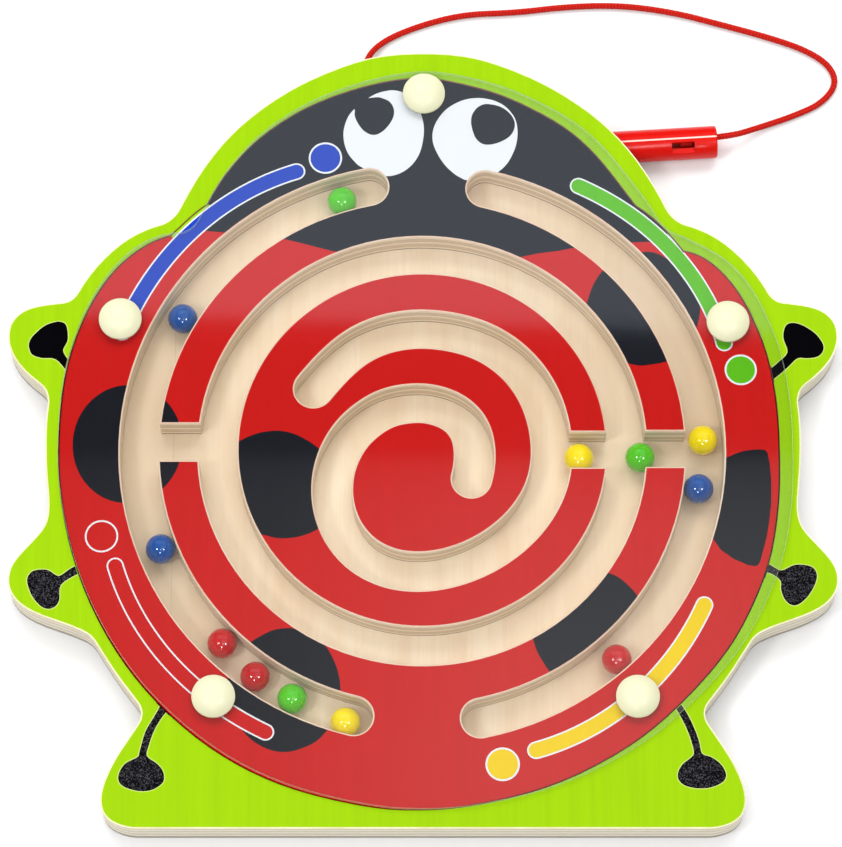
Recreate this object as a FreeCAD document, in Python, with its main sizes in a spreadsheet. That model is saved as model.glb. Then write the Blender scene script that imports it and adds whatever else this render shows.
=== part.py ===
import FreeCAD, Part
import math
import os

from FreeCAD import Vector, Placement, Rotation

# Ladybird-shaped magnetic wand maze.
# A painted plywood frame and a printed, cut-out maze panel are glued to a thin
# back plate, which is also the floor of the ball tracks.  A clear cover closes
# the tracks.  A magnetic wand on a cord is stored in a channel milled into the
# underside.  Millimetres; origin at the middle of the base, +Z up, the
# ladybird's head towards +Y.

os.makedirs("parts", exist_ok=True)
doc = FreeCAD.newDocument("ladybird_wand_maze")

# ---------------------------------------------------------------- dimensions
sheet = doc.addObject("Spreadsheet::Sheet", "dims")
row = [0]


def cell(alias, value, note):
    row[0] += 1
    sheet.set("A%d" % row[0], note)
    sheet.set("B%d" % row[0], repr(float(value)))
    sheet.setAlias("B%d" % row[0], alias)


cell("back_thick", 3.0, "back plate thickness, the floor of the tracks")
cell("ply_thick", 12.0, "thickness of the frame, the maze panel and the island")
cell("cover_thick", 2.0, "clear cover thickness")
cell("overcut", 1.0, "how far a cutting tool runs past the wood")
cell("opening_gap", 0.5, "gap between the maze panel and the frame")
cell("maze_x", -0.3, "centre of the ring tracks, X")
cell("maze_y", -6.4, "centre of the ring tracks, Y")
cell("island_radius", 64.7, "outer wall of the island")
cell("middle_radius", 78.2, "outer wall of the middle track")
cell("ring_radius", 92.3, "inner wall of the outer track")
cell("track_radius", 105.7, "outer wall of the outer track")
cell("left_start", 100.98, "left outer track, upper end, degrees")
cell("left_stop", 256.22, "left outer track, lower end, degrees")
cell("right_start", -78.32, "right outer track, lower end, degrees")
cell("right_stop", 76.87, "right outer track, upper end, degrees")
cell("spiral_width", 13.6, "width of the spiral track")
cell("gap_left_low", -10.95, "left passage, lower wall, Y")
cell("gap_left_high", 2.5, "left passage, upper wall, Y")
cell("gap_right_low", -13.25, "right passage, lower wall, Y")
cell("gap_right_high", -0.25, "right passage, upper wall, Y")
cell("gap_inner_low", -13.5, "spiral passage, lower wall, Y")
cell("gap_inner_high", -0.55, "spiral passage, upper wall, Y")
cell("cap_width", 15.0, "screw cap diameter")
cell("cap_height", 4.4, "screw cap height")
cell("cap_rim", 0.9, "height of the cap's straight rim")
cell("cap_bore", 9.2, "diameter of the hollow under the cap")
cell("cap_hollow", 2.6, "depth of the hollow under the cap")
cell("head_width", 7.0, "screw head diameter")
cell("head_height", 2.3, "screw head height")
cell("shank_width", 3.0, "screw shank diameter")
cell("shank_length", 12.0, "screw length under the head")
cell("pilot_width", 3.2, "pilot hole in the wood")
cell("pilot_depth", 11.0, "depth of the pilot hole")
cell("cover_hole", 3.6, "screw hole in the cover")
cell("ball_width", 10.5, "ball diameter")
cell("wand_width", 11.6, "wand diameter")
cell("wand_bore", 8.8, "inside diameter of the wand")
cell("wand_length", 84.0, "length of the two wand shells")
cell("nose_length", 6.0, "length of the wand's nose beyond the shells")
cell("wand_wall", 2.0, "end wall of the wand, at the cord")
cell("wand_x", 105.3, "wand, cord end, X")
cell("wand_y", 111.4, "wand, cord end, Y")
cell("wand_turn", 3.55, "wand, turn in plan, degrees")
cell("window_long", 8.1, "wand window, along the wand")
cell("window_back", 8.3, "from the wand's cord end to the window")
cell("window_low", 3.3, "wand window's lower edge above the axis")
cell("window_high", 1.4, "from the seam to the wand window's upper edge")
cell("seam_groove", 0.42, "side of the V groove along the wand's seam")
cell("channel_wide", 12.6, "storage channel width")
cell("channel_high", 12.1, "storage channel height above the table")
cell("channel_long", 92.0, "storage channel length inward from the wand's cord end")
cell("cord_width", 2.3, "cord diameter")
cell("cord_hole", 2.7, "hole or groove for the cord")
cell("anchor_x", -21.2, "cord anchor, X")
cell("anchor_z", 5.2, "cord height where it leaves the board")
cell("knot_end", 134.9, "where the cord meets its knot in the board, Y")
cell("knot_long", 4.0, "length of the knot in the board")
cell("knot_radius", 2.7, "radius of the knot in the board")
cell("hole_side", 1.0, "cord hole in the wand's end, sideways from the axis")
cell("hole_up", 1.6, "cord hole in the wand's end, above the axis")
cell("magnet_width", 8.0, "magnet diameter")
cell("magnet_long", 12.0, "magnet length")

# Centre line of the spiral track, as its distance from the maze centre at every
# 15 degrees, from the dead end on the upper left round to the one in the middle.
SPIRAL_FIRST, SPIRAL_LAST = 150.3, -393.1
SPIRAL = [
    (SPIRAL_FIRST, 43.9), (135, 43.3), (120, 43.8), (105, 43.9), (90, 43.8), (75, 44.0),
    (60, 44.7), (45, 45.1), (30, 45.2), (15, 45.1), (0, 45.2), (-15, 45.4), (-30, 45.0),
    (-45, 44.4), (-60, 44.1), (-75, 44.3), (-90, 44.8), (-105, 44.9), (-120, 43.5),
    (-135, 40.3), (-150, 36.1), (-165, 31.8), (-180, 27.8), (-195, 24.4), (-210, 21.6),
    (-225, 19.6), (-240, 18.0), (-255, 16.9), (-270, 16.4), (-285, 16.3), (-300, 16.6),
    (-315, 17.1), (-330, 17.6), (-345, 17.9), (-360, 18.2), (-375, 18.9), (SPIRAL_LAST, 20.5),
]
for i, (deg, rad) in enumerate(SPIRAL):
    cell("spiral_rad_%02d" % i, rad, "spiral centre line at %.1f degrees" % deg)

CAPS = {
    "top": (0.3, 125.4),
    "left": (-106.6, 40.4),
    "right": (107.3, 39.4),
    "lower_left": (-72.0, -96.3),
    "lower_right": (73.7, -96.3),
}
for name, (x, y) in CAPS.items():
    cell("fix_%s_x" % name, x, "screw and cap %s, X" % name)
    cell("fix_%s_y" % name, y, "screw and cap %s, Y" % name)

# Balls on the outer track: distance from the maze centre and angle.
ROUND_BALLS = {
    "ball_green_a": (98.3, 106.9),
    "ball_blue_a": (98.3, 149.5),
    "ball_blue_b": (97.6, 200.9),
    "ball_red_a": (97.6, 224.8),
    "ball_red_b": (99.2, 234.4),
    "ball_green_b": (99.2, 243.1),
    "ball_yellow_a": (100.4, 254.7),
    "ball_red_c": (100.4, -47.9),
    "ball_blue_c": (97.6, -7.6),
    "ball_yellow_b": (98.6, 2.8),
}
for name, (rad, deg) in ROUND_BALLS.items():
    cell("rad_" + name, rad, name + ", distance from the maze centre")
    cell("deg_" + name, deg, name + ", angle about the maze centre")
# Balls standing in the two right-hand passages: X and Y.
PASSAGE_BALLS = {"ball_green_c": (76.1, -7.9), "ball_yellow_c": (54.6, -8.15)}
for name, (x, y) in PASSAGE_BALLS.items():
    cell("x_" + name, x, name + ", X")
    cell("y_" + name, y, name + ", Y")
doc.recompute()


def D(alias):
    return float(sheet.get(alias))


# ------------------------------------------------------------------ outlines
def curve(points):
    c = Part.BSplineCurve()
    c.interpolate([Vector(x, y, 0) for x, y in points])
    return c


def bend(a, corner, b):
    c = Part.BezierCurve()
    c.setPoles([Vector(a[0], a[1], 0), Vector(corner[0], corner[1], 0), Vector(b[0], b[1], 0)])
    return c.toShape()


def profile(name, edges, height):
    wire = Part.Wire(Part.__sortEdges__(edges))
    if not wire.isClosed():
        raise SystemExit("outline %s is open" % name)
    face = Part.Face(wire)
    f = doc.addObject("Part::Feature", name)
    f.Shape = face
    f.setExpression(".Placement.Base.z", height)
    return f


def prism(name, base, length):
    e = doc.addObject("Part::Extrusion", name)
    e.Base = base
    e.DirMode = "Custom"
    e.Dir = Vector(0, 0, 1)
    e.Solid = True
    e.setExpression("LengthFwd", length)
    return e


def box(name, x, y, z, lx, ly, lz):
    b = doc.addObject("Part::Box", name)
    b.setExpression("Length", lx)
    b.setExpression("Width", ly)
    b.setExpression("Height", lz)
    b.setExpression(".Placement.Base.x", x)
    b.setExpression(".Placement.Base.y", y)
    b.setExpression(".Placement.Base.z", z)
    return b


def cylinder(name, x, y, z, radius, height):
    c = doc.addObject("Part::Cylinder", name)
    c.setExpression("Radius", radius)
    c.setExpression("Height", height)
    c.setExpression(".Placement.Base.x", x)
    c.setExpression(".Placement.Base.y", y)
    c.setExpression(".Placement.Base.z", z)
    return c


def fuse(name, shapes):
    f = doc.addObject("Part::MultiFuse", name)
    f.Shapes = shapes
    return f


def cut(name, base, tool):
    c = doc.addObject("Part::Cut", name)
    c.Base = base
    c.Tool = tool
    return c


# Board outline, right half from the head to the foot; the left half mirrors it.
HEAD = [(0, 142.0), (18.2, 140.3), (31.0, 136.1), (43.5, 130.2), (54.6, 123.1),
        (64.2, 115.2), (74.1, 104.1), (80.6, 94.2), (86.6, 82.6)]
C_NECK = (88.6, 78.5)
SHOULDER = [(92.6, 76.8), (100.2, 73.9), (105.5, 70.7), (110.6, 66.4), (118.3, 57.3), (122.2, 50.8)]
C_SHOULDER = (124.1, 47.5)
BUMP = [(127.9, 47.3), (135.5, 46.2), (141.6, 43.8), (145.0, 40.0), (146.1, 35.0),
        (144.5, 28.2), (139.3, 21.2), (134.4, 17.0)]
C_BUMP = (131.4, 14.5)
SIDE = [(131.5, 10.0), (132.1, -5.0), (131.3, -18.0), (130.5, -28.0), (131.5, -34.0),
        (134.8, -38.9), (139.5, -44.2), (142.9, -49.2), (143.9, -53.5), (143.1, -58.0),
        (139.7, -62.6), (135.3, -65.5), (126.0, -69.2), (118.6, -72.1)]
C_SIDE = (115.0, -73.5)
WAIST = [(113.2, -76.3), (109.6, -82.0), (105.7, -87.9), (101.2, -94.0), (98.4, -97.6)]
C_WAIST = (95.4, -101.4)
FOOT = [(98.0, -105.6), (104.5, -115.8), (109.0, -125.4), (110.2, -132.4), (108.5, -137.6),
        (103.9, -140.8), (96.4, -142.0)]


def mirror(points):
    return [(-x, y) for x, y in points]


def board_edges():
    e = [curve(mirror(HEAD)[::-1] + HEAD[1:]).toShape()]
    for m in (lambda q: q, mirror):
        parts = [SHOULDER, BUMP, SIDE, WAIST, FOOT]
        for p in parts:
            e.append(curve(m(p)).toShape())
        joins = [(HEAD[-1], C_NECK, SHOULDER[0]), (SHOULDER[-1], C_SHOULDER, BUMP[0]),
                 (BUMP[-1], C_BUMP, SIDE[0]), (SIDE[-1], C_SIDE, WAIST[0]),
                 (WAIST[-1], C_WAIST, FOOT[0])]
        for j in joins:
            e.append(bend(*m(list(j))))
    e.append(Part.LineSegment(Vector(-FOOT[-1][0], FOOT[-1][1], 0),
                              Vector(FOOT[-1][0], FOOT[-1][1], 0)).toShape())
    return e


# Maze panel outline, clockwise from the left of the head.
P_HEAD = [(-76.4, 84.0), (-72.0, 92.2), (-66.2, 100.3), (-60.2, 107.0), (-52.0, 113.9),
          (-44.0, 119.2), (-31.9, 125.0), (-18.5, 129.4), (-9.5, 131.3), (-1.5, 132.0),
          (6.5, 131.3), (15.5, 129.4), (29.0, 125.0), (41.0, 119.0), (49.2, 113.9),
          (57.3, 107.0), (63.3, 100.2), (69.3, 92.0), (75.2, 83.6)]
P_RIGHT_NOTCH = [(75.2, 83.6), (80.3, 79.7), (85.9, 74.1), (92.0, 66.3)]
P_BODY = [(92.0, 66.3), (97.8, 64.5), (103.6, 60.3), (109.2, 53.8), (113.2, 47.2),
          (116.3, 40.4), (119.6, 31.5), (122.6, 18.0), (124.0, 4.0), (124.2, -8.0),
          (123.9, -21.0), (122.8, -32.0), (119.7, -47.5), (113.2, -64.1), (107.3, -75.1),
          (98.6, -86.9), (88.4, -97.9), (74.4, -110.1), (64.3, -116.7), (42.5, -127.1),
          (22.2, -132.6), (7.0, -134.9), (-1.5, -135.2), (-10.3, -135.0), (-25.2, -132.8),
          (-47.8, -126.6), (-68.8, -116.1), (-86.9, -101.8), (-96.7, -91.4), (-109.2, -73.3),
          (-118.8, -52.6), (-125.1, -28.5), (-126.9, -13.4), (-127.0, 0.9), (-125.0, 22.0),
          (-120.2, 38.9), (-113.9, 51.9), (-108.1, 59.9), (-102.2, 65.5), (-96.0, 69.6),
          (-89.3, 72.2)]
P_LEFT_NOTCH = [(-89.3, 72.2), (-84.6, 77.0), (-80.4, 81.0), (-76.4, 84.0)]


PANEL = [P_HEAD, P_RIGHT_NOTCH, P_BODY, P_LEFT_NOTCH]


def crossing(p, q, r, t):
    """Where the segments pq and rt cross, or None."""
    d = (q[0] - p[0]) * (t[1] - r[1]) - (q[1] - p[1]) * (t[0] - r[0])
    if abs(d) < 1e-12:
        return None
    u = ((r[0] - p[0]) * (t[1] - r[1]) - (r[1] - p[1]) * (t[0] - r[0])) / d
    v = ((r[0] - p[0]) * (q[1] - p[1]) - (r[1] - p[1]) * (q[0] - p[0])) / d
    if 0 <= u <= 1 and 0 <= v <= 1:
        return (p[0] + u * (q[0] - p[0]), p[1] + u * (q[1] - p[1]))
    return None


def moved_out(points, gap):
    """The clockwise curve through the points moved outward by gap, as close points."""
    c = curve(points)
    first, last = c.FirstParameter, c.LastParameter
    count = 6 * (len(points) - 1)
    out = []
    for i in range(count + 1):
        u = first + (last - first) * i / count
        p, t = c.value(u), c.tangent(u)[0]
        out.append((p.x - t.y * gap, p.y + t.x * gap))
    return out


def panel_edges(gap=0.0):
    """The panel's outline, or the same outline a gap further out, cut at its inward corners."""
    if not gap:
        return [curve(p).toShape() for p in PANEL]
    runs = [moved_out(p, gap) for p in PANEL]
    for i in range(len(runs)):
        a, b = runs[i], runs[(i + 1) % len(runs)]
        found = None
        for m in range(len(a) - 2, max(len(a) - 12, -1), -1):
            for n in range(0, min(12, len(b) - 1)):
                x = crossing(a[m], a[m + 1], b[n], b[n + 1])
                if x and not found:
                    found = (m, n, x)
        if not found:
            raise SystemExit("the opening's outline does not close at corner %d" % i)
        m, n, x = found
        runs[i] = a[:m] + [x] if math.dist(a[m], x) < 0.6 else a[:m + 1] + [x]
        runs[(i + 1) % len(runs)] = [x] + (b[n + 2:] if math.dist(b[n + 1], x) < 0.6 else b[n + 1:])
    return [curve(p).toShape() for p in runs]


# Cover outline: a little larger than the panel, mostly on the right, with a
# deeper notch between the head and the body.
def grown(points):
    return [(1.0215 * x + 2.23, 1.0094 * y + 0.96) for x, y in points]


K_HEAD = [(-78.8, 79.6)] + grown(P_HEAD) + [(82.6, 79.2)]
K_BODY = [(92.0, 71.6)] + grown(P_BODY)[1:-2] + [(-92.5, 72.0), (-86.5, 72.9)]


def cover_edges():
    return [curve(K_HEAD).toShape(), bend(K_HEAD[-1], (86.2, 72.8), K_BODY[0]),
            curve(K_BODY).toShape(), bend(K_BODY[-1], (-81.3, 73.4), K_HEAD[0])]


def polar(rad, deg):
    a = math.radians(deg)
    return Vector(D("maze_x") + rad * math.cos(a), D("maze_y") + rad * math.sin(a), 0)


def arc_slot(inner, outer, start, stop):
    """A ring-shaped slot with round ends, centred on the maze."""
    mid, half, m = (inner + outer) / 2, (outer - inner) / 2, (start + stop) / 2

    def tip(deg, sign):
        a = math.radians(deg)
        return polar(mid, deg) + Vector(-math.sin(a), math.cos(a), 0) * half * sign

    return [Part.Arc(polar(outer, start), polar(outer, m), polar(outer, stop)).toShape(),
            Part.Arc(polar(outer, stop), tip(stop, 1), polar(inner, stop)).toShape(),
            Part.Arc(polar(inner, stop), polar(inner, m), polar(inner, start)).toShape(),
            Part.Arc(polar(inner, start), tip(start, -1), polar(outer, start)).toShape()]


def spiral_slot():
    """The spiral track: its centre line set off by half the width on both sides."""
    half = D("spiral_width") / 2
    line = Part.BSplineCurve()
    line.interpolate([polar(D("spiral_rad_%02d" % i), deg) for i, (deg, _) in enumerate(SPIRAL)])
    first, last, count = line.FirstParameter, line.LastParameter, 84
    left, right = [], []
    for i in range(count + 1):
        u = first + (last - first) * i / count
        p, t = line.value(u), line.tangent(u)[0]
        n = Vector(-t.y, t.x, 0)
        left.append(p + n * half)
        right.append(p - n * half)
    a, b = Part.BSplineCurve(), Part.BSplineCurve()
    a.interpolate(left)
    b.interpolate(right)
    t0, t1 = line.tangent(first)[0], line.tangent(last)[0]
    return [a.toShape(), Part.Arc(left[-1], line.value(last) + t1 * half, right[-1]).toShape(),
            b.toShape(), Part.Arc(right[0], line.value(first) - t0 * half, left[0]).toShape()]


# ------------------------------------------------------- board: plates of wood
board_outline = profile("board_outline", board_edges(), "0 mm")
frame_outline = profile("frame_outline", board_edges(), "dims.back_thick * 1 mm")
panel_outline = profile("panel_outline", panel_edges(), "dims.back_thick * 1 mm")
opening_outline = profile("opening_outline", panel_edges(D("opening_gap")), "(dims.back_thick - dims.overcut) * 1 mm")
cover_outline = profile("cover_outline", cover_edges(), "(dims.back_thick + dims.ply_thick) * 1 mm")
left_track = profile("left_track", arc_slot(D("ring_radius"), D("track_radius"), D("left_start"), D("left_stop")),
                     "(dims.back_thick - dims.overcut) * 1 mm")
right_track = profile("right_track", arc_slot(D("ring_radius"), D("track_radius"), D("right_start"), D("right_stop")),
                      "(dims.back_thick - dims.overcut) * 1 mm")
spiral_track = profile("spiral_track", spiral_slot(), "(dims.back_thick - dims.overcut) * 1 mm")

THROUGH = "(dims.ply_thick + 2 * dims.overcut) * 1 mm"
UNDER = "(dims.back_thick - dims.overcut) * 1 mm"

# The storage channel for the wand, open at the underside and at the board's edge.
channel = doc.addObject("Part::Box", "channel")
channel.setExpression("Length", "(dims.channel_long + 20) * 1 mm")
channel.setExpression("Width", "dims.channel_wide * 1 mm")
channel.setExpression("Height", "(dims.channel_high + dims.overcut) * 1 mm")
channel.Placement = Placement(Vector(0, 0, 0), Rotation(Vector(0, 0, 1), D("wand_turn")))
channel.setExpression(".Placement.Base.x", "(dims.wand_x - dims.channel_long * cos(dims.wand_turn) + dims.channel_wide / 2 * sin(dims.wand_turn)) * 1 mm")
channel.setExpression(".Placement.Base.y", "(dims.wand_y - dims.channel_long * sin(dims.wand_turn) - dims.channel_wide / 2 * cos(dims.wand_turn)) * 1 mm")
channel.setExpression(".Placement.Base.z", "-dims.overcut * 1 mm")

back_blank = prism("back_blank", board_outline, "dims.back_thick * 1 mm")
back_plate = cut("back_plate", back_blank, channel)

frame_blank = prism("frame_blank", frame_outline, "dims.ply_thick * 1 mm")
opening = prism("opening", opening_outline, THROUGH)
# The cord's knot sits in a pocket between the frame and the back plate, and the
# cord leaves through a groove in the frame's underside.
knot_pocket = box("knot_pocket", "(dims.anchor_x - dims.knot_radius - 0.3) * 1 mm",
                  "(dims.knot_end - dims.knot_long - 0.3) * 1 mm", UNDER,
                  "(2 * dims.knot_radius + 0.6) * 1 mm", "(dims.knot_long + 0.6) * 1 mm",
                  "(2 * dims.knot_radius + 0.4 + dims.overcut) * 1 mm")
cord_groove = box("cord_groove", "(dims.anchor_x - dims.cord_hole / 2) * 1 mm", "dims.knot_end * 1 mm", UNDER,
                  "dims.cord_hole * 1 mm", "20 mm",
                  "(dims.anchor_z + dims.cord_hole / 2 - dims.back_thick + dims.overcut) * 1 mm")
board_frame = cut("board_frame", frame_blank,
                  fuse("frame_cuts", [opening, channel, knot_pocket, cord_groove]))

panel_blank = prism("panel_blank", panel_outline, "dims.ply_thick * 1 mm")
middle_hole = cylinder("middle_hole", "dims.maze_x * 1 mm", "dims.maze_y * 1 mm", UNDER,
                       "dims.middle_radius * 1 mm", THROUGH)
left_slot = prism("left_slot", left_track, THROUGH)
right_slot = prism("right_slot", right_track, THROUGH)
left_gap = box("left_gap", "(dims.maze_x - dims.ring_radius - 3) * 1 mm", "dims.gap_left_low * 1 mm", UNDER,
               "20 mm", "(dims.gap_left_high - dims.gap_left_low) * 1 mm", THROUGH)
right_gap = box("right_gap", "(dims.maze_x + dims.middle_radius - 3) * 1 mm", "dims.gap_right_low * 1 mm", UNDER,
                "20 mm", "(dims.gap_right_high - dims.gap_right_low) * 1 mm", THROUGH)
pilots = [cylinder("pilot_" + n, "dims.fix_%s_x * 1 mm" % n, "dims.fix_%s_y * 1 mm" % n,
                   "(dims.back_thick + dims.ply_thick - dims.pilot_depth) * 1 mm",
                   "dims.pilot_width / 2 * 1 mm", "(dims.pilot_depth + dims.overcut) * 1 mm") for n in CAPS]
maze_panel = cut("maze_panel", panel_blank,
                 fuse("panel_cuts", [middle_hole, left_slot, right_slot, left_gap, right_gap, channel] + pilots))

island_blank = cylinder("island_blank", "dims.maze_x * 1 mm", "dims.maze_y * 1 mm", "dims.back_thick * 1 mm",
                        "dims.island_radius * 1 mm", "dims.ply_thick * 1 mm")
spiral_cut = prism("spiral_cut", spiral_track, THROUGH)
inner_gap = box("inner_gap", "(dims.maze_x + 45) * 1 mm", "dims.gap_inner_low * 1 mm", UNDER,
                "25 mm", "(dims.gap_inner_high - dims.gap_inner_low) * 1 mm", THROUGH)
spiral_island = cut("spiral_island", island_blank, fuse("island_cuts", [spiral_cut, inner_gap]))

cover_blank = prism("cover_blank", cover_outline, "dims.cover_thick * 1 mm")
cover_holes = [cylinder("cover_hole_" + n, "dims.fix_%s_x * 1 mm" % n, "dims.fix_%s_y * 1 mm" % n,
                        "(dims.back_thick + dims.ply_thick - dims.overcut) * 1 mm",
                        "dims.cover_hole / 2 * 1 mm", "(dims.cover_thick + 2 * dims.overcut) * 1 mm") for n in CAPS]
clear_cover = cut("clear_cover", cover_blank, fuse("cover_cuts", cover_holes))


# ------------------------------------------------------------ screws and caps
def plane_of(body, role):
    for f in body.Origin.OriginFeatures:
        if f.Role == role:
            return f


def revolved(name, points, names, arcs=()):
    """A PartDesign body: a half section in the XZ plane turned about Z.
    points are (x, z); names give, for each point, its two expressions or None."""
    import Sketcher
    body = doc.addObject("PartDesign::Body", name)
    sk = body.newObject("Sketcher::SketchObject", name + "_section")
    sk.AttachmentSupport = [(plane_of(body, "XZ_Plane"), "")]
    sk.MapMode = "FlatFace"
    n = len(points)
    for i in range(n):
        a, b = points[i], points[(i + 1) % n]
        if i in dict(arcs):
            via = dict(arcs)[i]
            sk.addGeometry(Part.Arc(Vector(a[0], a[1], 0), Vector(via[0], via[1], 0), Vector(b[0], b[1], 0)), False)
        else:
            sk.addGeometry(Part.LineSegment(Vector(a[0], a[1], 0), Vector(b[0], b[1], 0)), False)

    def ends(i):
        g = sk.Geometry[i]
        a = points[i]
        if isinstance(g, Part.ArcOfCircle):
            s = g.StartPoint
            return (1, 2) if math.hypot(s.x - a[0], s.y - a[1]) < 1e-6 else (2, 1)
        return (1, 2)

    for i in range(n):
        j = (i + 1) % n
        sk.addConstraint(Sketcher.Constraint("Coincident", i, ends(i)[1], j, ends(j)[0]))
    for i, pair in enumerate(names):
        for k, (kind, expr) in enumerate(zip(("DistanceX", "DistanceY"), pair)):
            value = points[i][k]
            if expr is None:
                if abs(value) < 1e-9:
                    if k == 0:
                        sk.addConstraint(Sketcher.Constraint("PointOnObject", i, ends(i)[0], -2))
                    else:
                        sk.addConstraint(Sketcher.Constraint("PointOnObject", i, ends(i)[0], -1))
                continue
            c = sk.addConstraint(Sketcher.Constraint(kind, -1, 1, i, ends(i)[0], value))
            sk.setExpression("Constraints[%d]" % c, expr)
    for i, via in dict(arcs).items():
        g = sk.Geometry[i]
        c = sk.addConstraint(Sketcher.Constraint("Radius", i, g.Radius))
        sk.setExpression("Constraints[%d]" % c, "(pow(dims.cap_width / 2; 2) + pow(dims.cap_height - dims.cap_rim; 2)) / (2 * (dims.cap_height - dims.cap_rim)) * 1 mm")
    rev = body.newObject("PartDesign::Revolution", name + "_turned")
    rev.Profile = sk
    rev.ReferenceAxis = (sk, ["V_Axis"])
    rev.Angle = 360
    body.Tip = rev
    return body


def screw(name, at):
    hw, hh, sw, sl = D("head_width") / 2, D("head_height"), D("shank_width") / 2, D("shank_length")
    pts = [(0, hh), (hw - 1.6, hh), (hw, hh - 1.5), (hw, 0), (sw, 0), (sw, 2.5 - sl), (0, -sl)]
    names = [(None, "dims.head_height * 1 mm"), ("(dims.head_width / 2 - 1.6) * 1 mm", "dims.head_height * 1 mm"),
             ("dims.head_width / 2 * 1 mm", "(dims.head_height - 1.5) * 1 mm"), ("dims.head_width / 2 * 1 mm", None),
             ("dims.shank_width / 2 * 1 mm", None), ("dims.shank_width / 2 * 1 mm", "(2.5 - dims.shank_length) * 1 mm"),
             (None, "-dims.shank_length * 1 mm")]
    b = revolved(name, pts, names)
    b.setExpression(".Placement.Base.x", "dims.fix_%s_x * 1 mm" % at)
    b.setExpression(".Placement.Base.y", "dims.fix_%s_y * 1 mm" % at)
    b.setExpression(".Placement.Base.z", "(dims.back_thick + dims.ply_thick + dims.cover_thick) * 1 mm")
    return b


def cap(name, at):
    w, h, rim, bore, hollow = D("cap_width") / 2, D("cap_height"), D("cap_rim"), D("cap_bore") / 2, D("cap_hollow")
    big = (w * w + (h - rim) ** 2) / (2 * (h - rim))
    mid = w / 2
    pts = [(bore, 0), (w, 0), (w, rim), (0, h), (0, hollow), (bore, hollow)]
    names = [("dims.cap_bore / 2 * 1 mm", None), ("dims.cap_width / 2 * 1 mm", None),
             ("dims.cap_width / 2 * 1 mm", "dims.cap_rim * 1 mm"), (None, "dims.cap_height * 1 mm"),
             (None, "dims.cap_hollow * 1 mm"), ("dims.cap_bore / 2 * 1 mm", "dims.cap_hollow * 1 mm")]
    via = (mid, h - big + math.sqrt(big * big - mid * mid))
    b = revolved(name, pts, names, arcs=((2, via),))
    b.setExpression(".Placement.Base.x", "dims.fix_%s_x * 1 mm" % at)
    b.setExpression(".Placement.Base.y", "dims.fix_%s_y * 1 mm" % at)
    b.setExpression(".Placement.Base.z", "(dims.back_thick + dims.ply_thick + dims.cover_thick) * 1 mm")
    return b


subparts = [back_plate, board_frame, maze_panel, spiral_island, clear_cover]
for n in CAPS:
    subparts.append(screw("screw_" + n, n))
for n in CAPS:
    subparts.append(cap("cap_" + n, n))

# --------------------------------------------------------------------- balls
for name in ROUND_BALLS:
    s = doc.addObject("Part::Sphere", name)
    s.setExpression("Radius", "dims.ball_width / 2 * 1 mm")
    s.setExpression(".Placement.Base.x", "(dims.maze_x + dims.rad_%s * cos(dims.deg_%s)) * 1 mm" % (name, name))
    s.setExpression(".Placement.Base.y", "(dims.maze_y + dims.rad_%s * sin(dims.deg_%s)) * 1 mm" % (name, name))
    s.setExpression(".Placement.Base.z", "(dims.back_thick + dims.ball_width / 2) * 1 mm")
    subparts.append(s)
for name in PASSAGE_BALLS:
    s = doc.addObject("Part::Sphere", name)
    s.setExpression("Radius", "dims.ball_width / 2 * 1 mm")
    s.setExpression(".Placement.Base.x", "dims.x_%s * 1 mm" % name)
    s.setExpression(".Placement.Base.y", "dims.y_%s * 1 mm" % name)
    s.setExpression(".Placement.Base.z", "(dims.back_thick + dims.ball_width / 2) * 1 mm")
    subparts.append(s)

# ---------------------------------------------------------------------- wand
# Built along X with its cord end at zero and its nose at negative X, then
# placed: two half shells that meet in an upright plane through the axis.
TURN = Rotation(Vector(0, 0, 1), D("wand_turn"))


def on_wand(obj):
    obj.Placement = Placement(Vector(0, 0, 0), TURN)
    obj.setExpression(".Placement.Base.x", "dims.wand_x * 1 mm")
    obj.setExpression(".Placement.Base.y", "dims.wand_y * 1 mm")
    obj.setExpression(".Placement.Base.z", "dims.wand_width / 2 * 1 mm")
    return obj


def rod(name, radius, x, length, y="0 mm", z="0 mm"):
    c = doc.addObject("Part::Cylinder", name)
    c.Placement = Placement(Vector(0, 0, 0), Rotation(Vector(0, 1, 0), 90))
    c.setExpression("Radius", radius)
    c.setExpression("Height", length)
    c.setExpression(".Placement.Base.x", x)
    c.setExpression(".Placement.Base.y", y)
    c.setExpression(".Placement.Base.z", z)
    return c


wand_body = rod("wand_body", "dims.wand_width / 2 * 1 mm", "-dims.wand_length * 1 mm", "dims.wand_length * 1 mm")
rounded = doc.addObject("Part::Fillet", "wand_rounded")
rounded.Base = wand_body
doc.recompute()
ring = [i + 1 for i, e in enumerate(wand_body.Shape.Edges)
        if len(e.Vertexes) == 1 and abs(e.BoundBox.XMin) < 1e-6 and abs(e.BoundBox.XMax) < 1e-6]
rounded.Edges = [(i, 0.7, 0.7) for i in ring]
wand_bore = rod("wand_bore", "dims.wand_bore / 2 * 1 mm", "(-dims.wand_length - 1) * 1 mm",
                "(dims.wand_length + 1 - dims.wand_wall) * 1 mm")
cord_hole = rod("cord_hole", "dims.cord_hole / 2 * 1 mm", "-5 mm", "10 mm", "dims.hole_side * 1 mm", "dims.hole_up * 1 mm")
window = box("window", "(-dims.window_back - dims.window_long) * 1 mm", "(-9 - dims.window_high) * 1 mm",
             "dims.window_low * 1 mm", "dims.window_long * 1 mm", "9 mm", "9 mm")


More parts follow.
